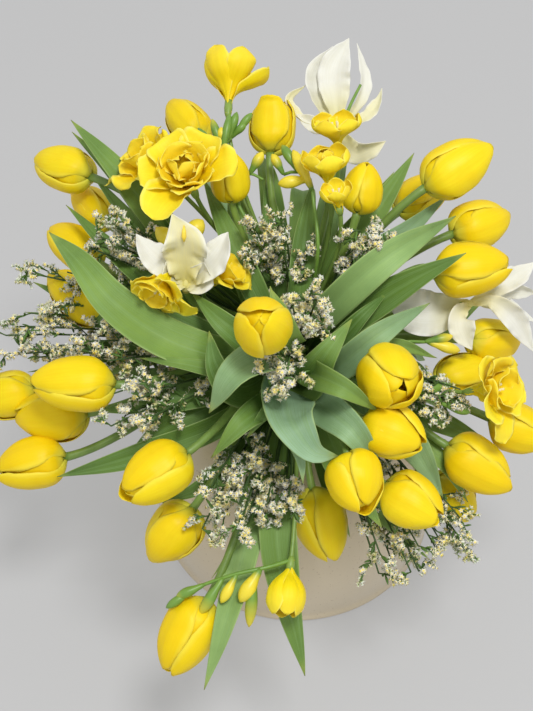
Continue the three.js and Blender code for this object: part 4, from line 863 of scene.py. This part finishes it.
# -------------------- irises
# Three white irises with thin ruffled petals: uprights, arching falls, some with a yellow
# mark, and narrow crests. Each bloom's petals: path of the middle as seen, width, turn and
# yellowness.
IRIS_PETALS = [
    (
        (((322, 100, 58), (317, 76, 54), (333, 46, 48)), 22, 15, 0.05),
        (((336, 100, 63), (334, 70, 60), (349, 38, 50)), 29, -12, 0.02),
        (((359, 104, 56), (366, 78, 54), (357, 43, 46)), 12, 30, 0.05),
        (((302, 118, 68), (290, 100, 64), (306, 85, 54)), 10, 50, 0.7),
        (((318, 126, 72), (296, 114, 70)), 14, 0, 0.1),
        (((362, 118, 60), (376, 104, 56), (382, 88, 50)), 12, -20, 0.6),
        (((356, 154, 80), (370, 151, 82), (386, 141, 76)), 20, 20, 0.5)),
    (
        (((184, 262, 172), (183, 240, 186), (172, 214, 186)), 36, 0, 0.75),
        (((164, 264, 166), (150, 250, 168), (136, 234, 160)), 24, 15, 0.02),
        (((204, 264, 168), (214, 252, 172), (228, 232, 162)), 30, -15, 0.02),
        (((174, 280, 160), (166, 262, 168)), 20, 30, 0.25),
        (((198, 280, 160), (204, 262, 168)), 24, -25, 0.05)),
    (
        (((492, 302, 118), (514, 318, 112), (534, 352, 92)), 20, 10, 0.02),
        (((461, 316, 122), (463, 332, 124), (472, 350, 118)), 22, -10, 0.2),
        (((498, 286, 104), (516, 276, 98), (536, 262, 82)), 20, -15, 0.05),
        (((502, 294, 98), (520, 292, 92), (538, 294, 78)), 15, 20, 0.1),
        (((500, 304, 92), (518, 312, 86), (536, 322, 76)), 14, -20, 0.02),
        (((440, 312, 112), (418, 312, 112), (388, 306, 100)), 40, 5, 0)),
]
IRIS_WIDTHS = (
    (0, 0.2), (0.15, 0.42), (0.35, 0.82), (0.54, 1.0), (0.7, 0.88), (0.83, 0.55), (0.93, 0.22), (1, 0.02))
MARKED, MARK = "iris_2", ((184, 242, 182), (184, 237, 185), (184, 231, 186), (184, 225, 185))
IRIS_ROWS = 60
iris_white = petal_paint(
    "iris_white", (0.8, 0.74, 0.3), (0.86, 0.86, 0.8), (0.9, 0.84, 0.36), (0.9, 0.9, 0.85),
    (0.74, 0.73, 0.6), (0.9, 0.86, 0.62), 0.5, 30, 0.14, 0.36, 0.5)
iris_mark = mottled_paint("iris_mark", 0.5, 400, (0.9, 0.6, 0.02), (0.95, 0.78, 0.1))

random = np.random.default_rng(23)
for bloom, petals in zip([b for b in blooms if b["kind"] == "iris"], IRIS_PETALS):
    foot, axis = bloom["foot"], bloom["frame"][2]
    parts = []
    for path, width, turn, yellow in petals:
        path = [foot + axis * 3] + [seen(*p) for p in path]
        ruffle = 0.05 * width
        parts.append(blade_part(
            path, width, turn, VIEW_NEAR, random, IRIS_WIDTHS, 0.4, 2.2, 0.7, yellow, IRIS_ROWS, ruffle))
    parts.append(rod_part(foot + axis * np.array([[-4], [0], [4], [8]]), (2.8, 3.6, 3.2, 1.0), 12, 0, 0.6))
    if bloom["node"] == MARKED:
        parts.append(rod_part([seen(*p) for p in MARK], (0.4, 2.0, 1.6, 0.3), 8, 1))
    flower = joined_piece(bloom["node"] + "_petals", parts, [iris_white, iris_mark])
    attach(flower, "root")
    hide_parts(bloom["node"])

# -------------------- sea lavender
# Filler sprays of sea lavender: wiry dark branches with small green bracts fork again and
# again to papery white florets with a yellow eye. They thread between the heads. Middle of
# each spray as seen, and its radius in mm.
SPRAYS = [
    ((55, 290, 75), 40), ((22, 345, 70), 36), ((112, 240, 110), 32), ((105, 348, 128), 34),
    ((130, 412, 150), 32), ((278, 242, 125), 38), ((370, 240, 150), 26), ((308, 312, 214), 25),
    ((279, 374, 216), 24), ((228, 518, 160), 36), ((281, 507, 148), 21), ((402, 560, 115), 34),
    ((450, 535, 85), 34), ((448, 400, 125), 30),
]
STEMS, SIDES_PER_MM, TWIGS, BRACTS, ON_TWIG = 7, 0.185, 5, 3, 5
STEM_ROWS, SIDE_ROWS, TWIG_ROWS = 22, 8, 5
# How far they reach: stems, side branches and twigs in shares of the spray's radius, bracts
# in mm. Along a bract, its radius.
STEM_REACH, SIDE_REACH, TWIG_REACH, BRACT_REACH = (0.4, 0.72), (0.3, 0.55), (0.11, 0.25), (6, 11)
BRACT_RADII = (0.4, 0.8, 1.1, 1.1, 0.8, 0.2)
FLORET_REACH, FLORET_SPREAD, FLORET_POINTS = 2.45, 0.5, 10
CLEAR_OF_HEAD = 2

heads = [b for b in blooms if b["kind"] != "iris"]
HEAD_FEET = np.array([b["foot"] for b in heads])
HEAD_AXES = np.array([b["frame"][2] for b in heads])
HEAD_LENGTHS = np.array([b["length"] for b in heads])
HEAD_RADII = np.array([23.5 * b["girth"][0] if b["kind"] == "tulip" else 0.8 * b["size"] for b in heads])


def bent(from_, to, lean, steps):
    t = np.linspace(0, 1, steps)[:, None]
    middle = from_ + (to - from_) * 0.5 + lean
    return from_ * (1 - t) ** 2 + 2 * middle * t * (1 - t) + to * t * t


def in_a_head(point):
    """Whether a point lies inside a tulip or freesia."""
    off = point - HEAD_FEET
    along = np.sum(off * HEAD_AXES, axis=1)
    across = np.linalg.norm(off - along[:, None] * HEAD_AXES, axis=1)
    beside = (along > -CLEAR_OF_HEAD) & (along < HEAD_LENGTHS + CLEAR_OF_HEAD)
    return np.any(beside & (across < HEAD_RADII))


def spray_of(middle, radius, random):
    """Stems of one spray, each forked twice, and the place and aim of each of its florets."""
    cloud = seen(*middle)
    draw, scatter = random.uniform, random.normal
    parts, places, aims = [], [], []
    for stem in range(STEMS):
        height = 1 - 2 * (stem + 0.5) / STEMS
        turn = GOLDEN_TURN * stem + draw(0, 1)
        flat = math.sqrt(1 - height * height)
        way = np.array([flat * math.cos(turn), flat * math.sin(turn), height])
        goal = cloud + radius * draw(*STEM_REACH) * way
        foot = heart_point(goal)
        main = bent(foot, goal, unit(foot - FAN_FROM) * 0.12 * np.linalg.norm(goal - foot), STEM_ROWS)
        parts.append(rod_part(main, np.linspace(1.2, 0.7, STEM_ROWS), 6, 0, 0.15))
        for k in range(round(SIDES_PER_MM * radius)):
            start = main[STEM_ROWS - 1 - 2 * k]
            way = unit(main[-1] - main[-6]) + scatter(0, 0.8, 3)
            end = start + unit(way) * radius * draw(*SIDE_REACH)
            if in_a_head(end):
                continue
            side = bent(start, end, UP * 2, SIDE_ROWS)
            parts.append(rod_part(side, np.linspace(0.65, 0.45, SIDE_ROWS), 5, 0, 0.3))
            for j in range(BRACTS):
                leafy = scatter(0, 0.5, 3) + unit(way)
                tip = side[1 + j] + unit(leafy) * draw(*BRACT_REACH)
                bract = bent(side[1 + j], tip, UP, len(BRACT_RADII))
                if in_a_head(bract[-1]):
                    continue
                parts.append(rod_part(bract, BRACT_RADII, 4, 0, draw(0.4, 1)))
            for j in range(TWIGS):
                from_ = side[3 + j] if j < 4 else side[7]
                aim = unit(way + scatter(0, 0.7, 3))
                twig = bent(from_, from_ + aim * radius * draw(*TWIG_REACH), UP, TWIG_ROWS)
                if in_a_head(twig[-1]):
                    continue
                parts.append(rod_part(twig, np.linspace(0.45, 0.32, TWIG_ROWS), 4, 0, 0.6))
                for place in range(ON_TWIG):
                    places.append(twig[4] * (1 - 0.18 * place) + twig[0] * 0.18 * place)
                    aims.append(unit(aim + scatter(0, 0.7, 3)))
    return parts, np.array(places), np.array(aims)


def floret_mesh():
    """One floret along +Z: a slim cup and a five-pointed open rim."""
    points, tones = [(0, 0, 0)], [0.0]
    for ring in range(2):
        for k in range(FLORET_POINTS):
            a = 2 * k * math.pi / FLORET_POINTS
            rim = (1.25, 2.7, 0.8) if k % 2 else (2.5, 3.3, 0.8)
            r, z, tone = rim if ring else (0.8, 1.9, 0.45)
            points.append((r * math.cos(a) / 2.5, r * math.sin(a) / 2.5, z / 2.5))
            tones.append(tone)
    made = mesh_piece("one_floret", points + [(0, 0, 0.95)], ring_faces(2, FLORET_POINTS), [])
    made.data.attributes.new("tone", "FLOAT", "POINT").data.foreach_set("value", tones + [1.0])
    return made


def floret_tree():
    """Sets a floret on every point, along its aim, and makes the whole one mesh."""
    tree = bpy.data.node_groups.new("florets_on_twigs", "GeometryNodeTree")
    names = {}
    for name, kind in (("Points", "Geometry"), ("Floret", "Object"), ("Size", "Float"),
                       ("Size spread", "Float"), ("Seed", "Int"), ("Paper", "Material")):
        socket = tree.interface.new_socket(name, in_out="INPUT", socket_type="NodeSocket" + kind)
        names[name] = socket.identifier
    tree.interface.new_socket("Florets", in_out="OUTPUT", socket_type="NodeSocketGeometry")
    given = add_node(tree, "NodeGroupInput")
    floret = add_node(tree, "GeometryNodeObjectInfo", {"Object": given["Floret"]})["Geometry"]
    aim = add_node(tree, "GeometryNodeInputNamedAttribute", {"Name": "aim"}, data_type="FLOAT_VECTOR")[0]
    turned = add_node(tree, "FunctionNodeAlignRotationToVector", {"Vector": aim}, axis="Z")[0]
    spin = {2: 0.0, 3: 6.28, "Seed": given["Seed"]}
    spin = add_node(tree, "FunctionNodeRandomValue", spin, data_type="FLOAT")[1]
    spin = add_node(tree, "ShaderNodeCombineXYZ", {2: spin})[0]
    spin = add_node(tree, "FunctionNodeEulerToRotation", {0: spin})[0]
    turned = add_node(tree, "FunctionNodeRotateRotation", {0: turned, 1: spin}, rotation_space="LOCAL")[0]
    sizes = {0: given["Size"], 1: given["Size spread"]}
    least, most = (add_node(tree, "ShaderNodeMath", sizes, operation=way)[0] for way in ("SUBTRACT", "ADD"))
    size = {2: least, 3: most, "Seed": given["Seed"]}
    size = add_node(tree, "FunctionNodeRandomValue", size, data_type="FLOAT")[1]
    placed = {"Points": given["Points"], "Instance": floret, "Rotation": turned, "Scale": size}
    placed = add_node(tree, "GeometryNodeInstanceOnPoints", placed)[0]
    real = add_node(tree, "GeometryNodeRealizeInstances", {"Geometry": placed})[0]
    papered = add_node(tree, "GeometryNodeSetMaterial", {"Geometry": real, "Material": given["Paper"]})[0]
    add_node(tree, "NodeGroupOutput", {0: papered})
    return tree, names


floret_paper = new_paint("floret_paper", 0.75, 0.3)
tone = attribute(floret_paper, "tone")
worn = level(floret_paper, object_noise(floret_paper, 110, 2.0), 0.46, 0.7)
paper = colour_mix(floret_paper, worn, (0.93, 0.92, 0.86), (0.86, 0.76, 0.3))
paper = tinted(floret_paper, (0.2, 0.32, 0.05), paper, tone, 0.2, 0.8)
shade(floret_paper, {"Base Color": tinted(floret_paper, paper, (0.9, 0.7, 0.05), tone, 0.84, 0.97)})
twig_green = new_paint("twig_green", 0.6)
wiry = colour_mix(twig_green, object_noise(twig_green, 120), (0.014, 0.034, 0.008), (0.045, 0.09, 0.022))
wiry = colour_mix(twig_green, attribute(twig_green, "tone"), wiry, (0.1, 0.21, 0.03))
shade(twig_green, {"Base Color": wiry})

pattern = floret_mesh()
tree, sockets = floret_tree()
for k, (middle, radius) in enumerate(SPRAYS):
    parts, places, aims = spray_of(middle, radius, np.random.default_rng(400 + k))
    node_name = f"sea_lavender_{k + 1:02d}"
    twigs = joined_piece(node_name + "_twigs", parts, [twig_green])
    dots = mesh_piece("dots", places, [], [])
    aim = dots.data.attributes.new("aim", "FLOAT_VECTOR", "POINT")
    aim.data.foreach_set("vector", aims.astype(np.float32).ravel())
    modifier = dots.modifiers.new("florets", "NODES")
    modifier.node_group = tree
    values = (("Floret", pattern), ("Size", FLORET_REACH), ("Size spread", FLORET_SPREAD), ("Seed", 31 + k),
              ("Paper", floret_paper))
    for name, value in values:
        modifier[sockets[name]] = value
    bpy.context.view_layer.update()
    grown = bpy.data.meshes.new_from_object(dots.evaluated_get(bpy.context.evaluated_depsgraph_get()))
    dots.modifiers.remove(modifier)
    bpy.data.objects.remove(dots)
    florets = new_object(node_name + "_florets", grown)
    for piece in (twigs, florets):
        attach(piece, "root")
        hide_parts(node_name)
bpy.data.objects.remove(pattern)
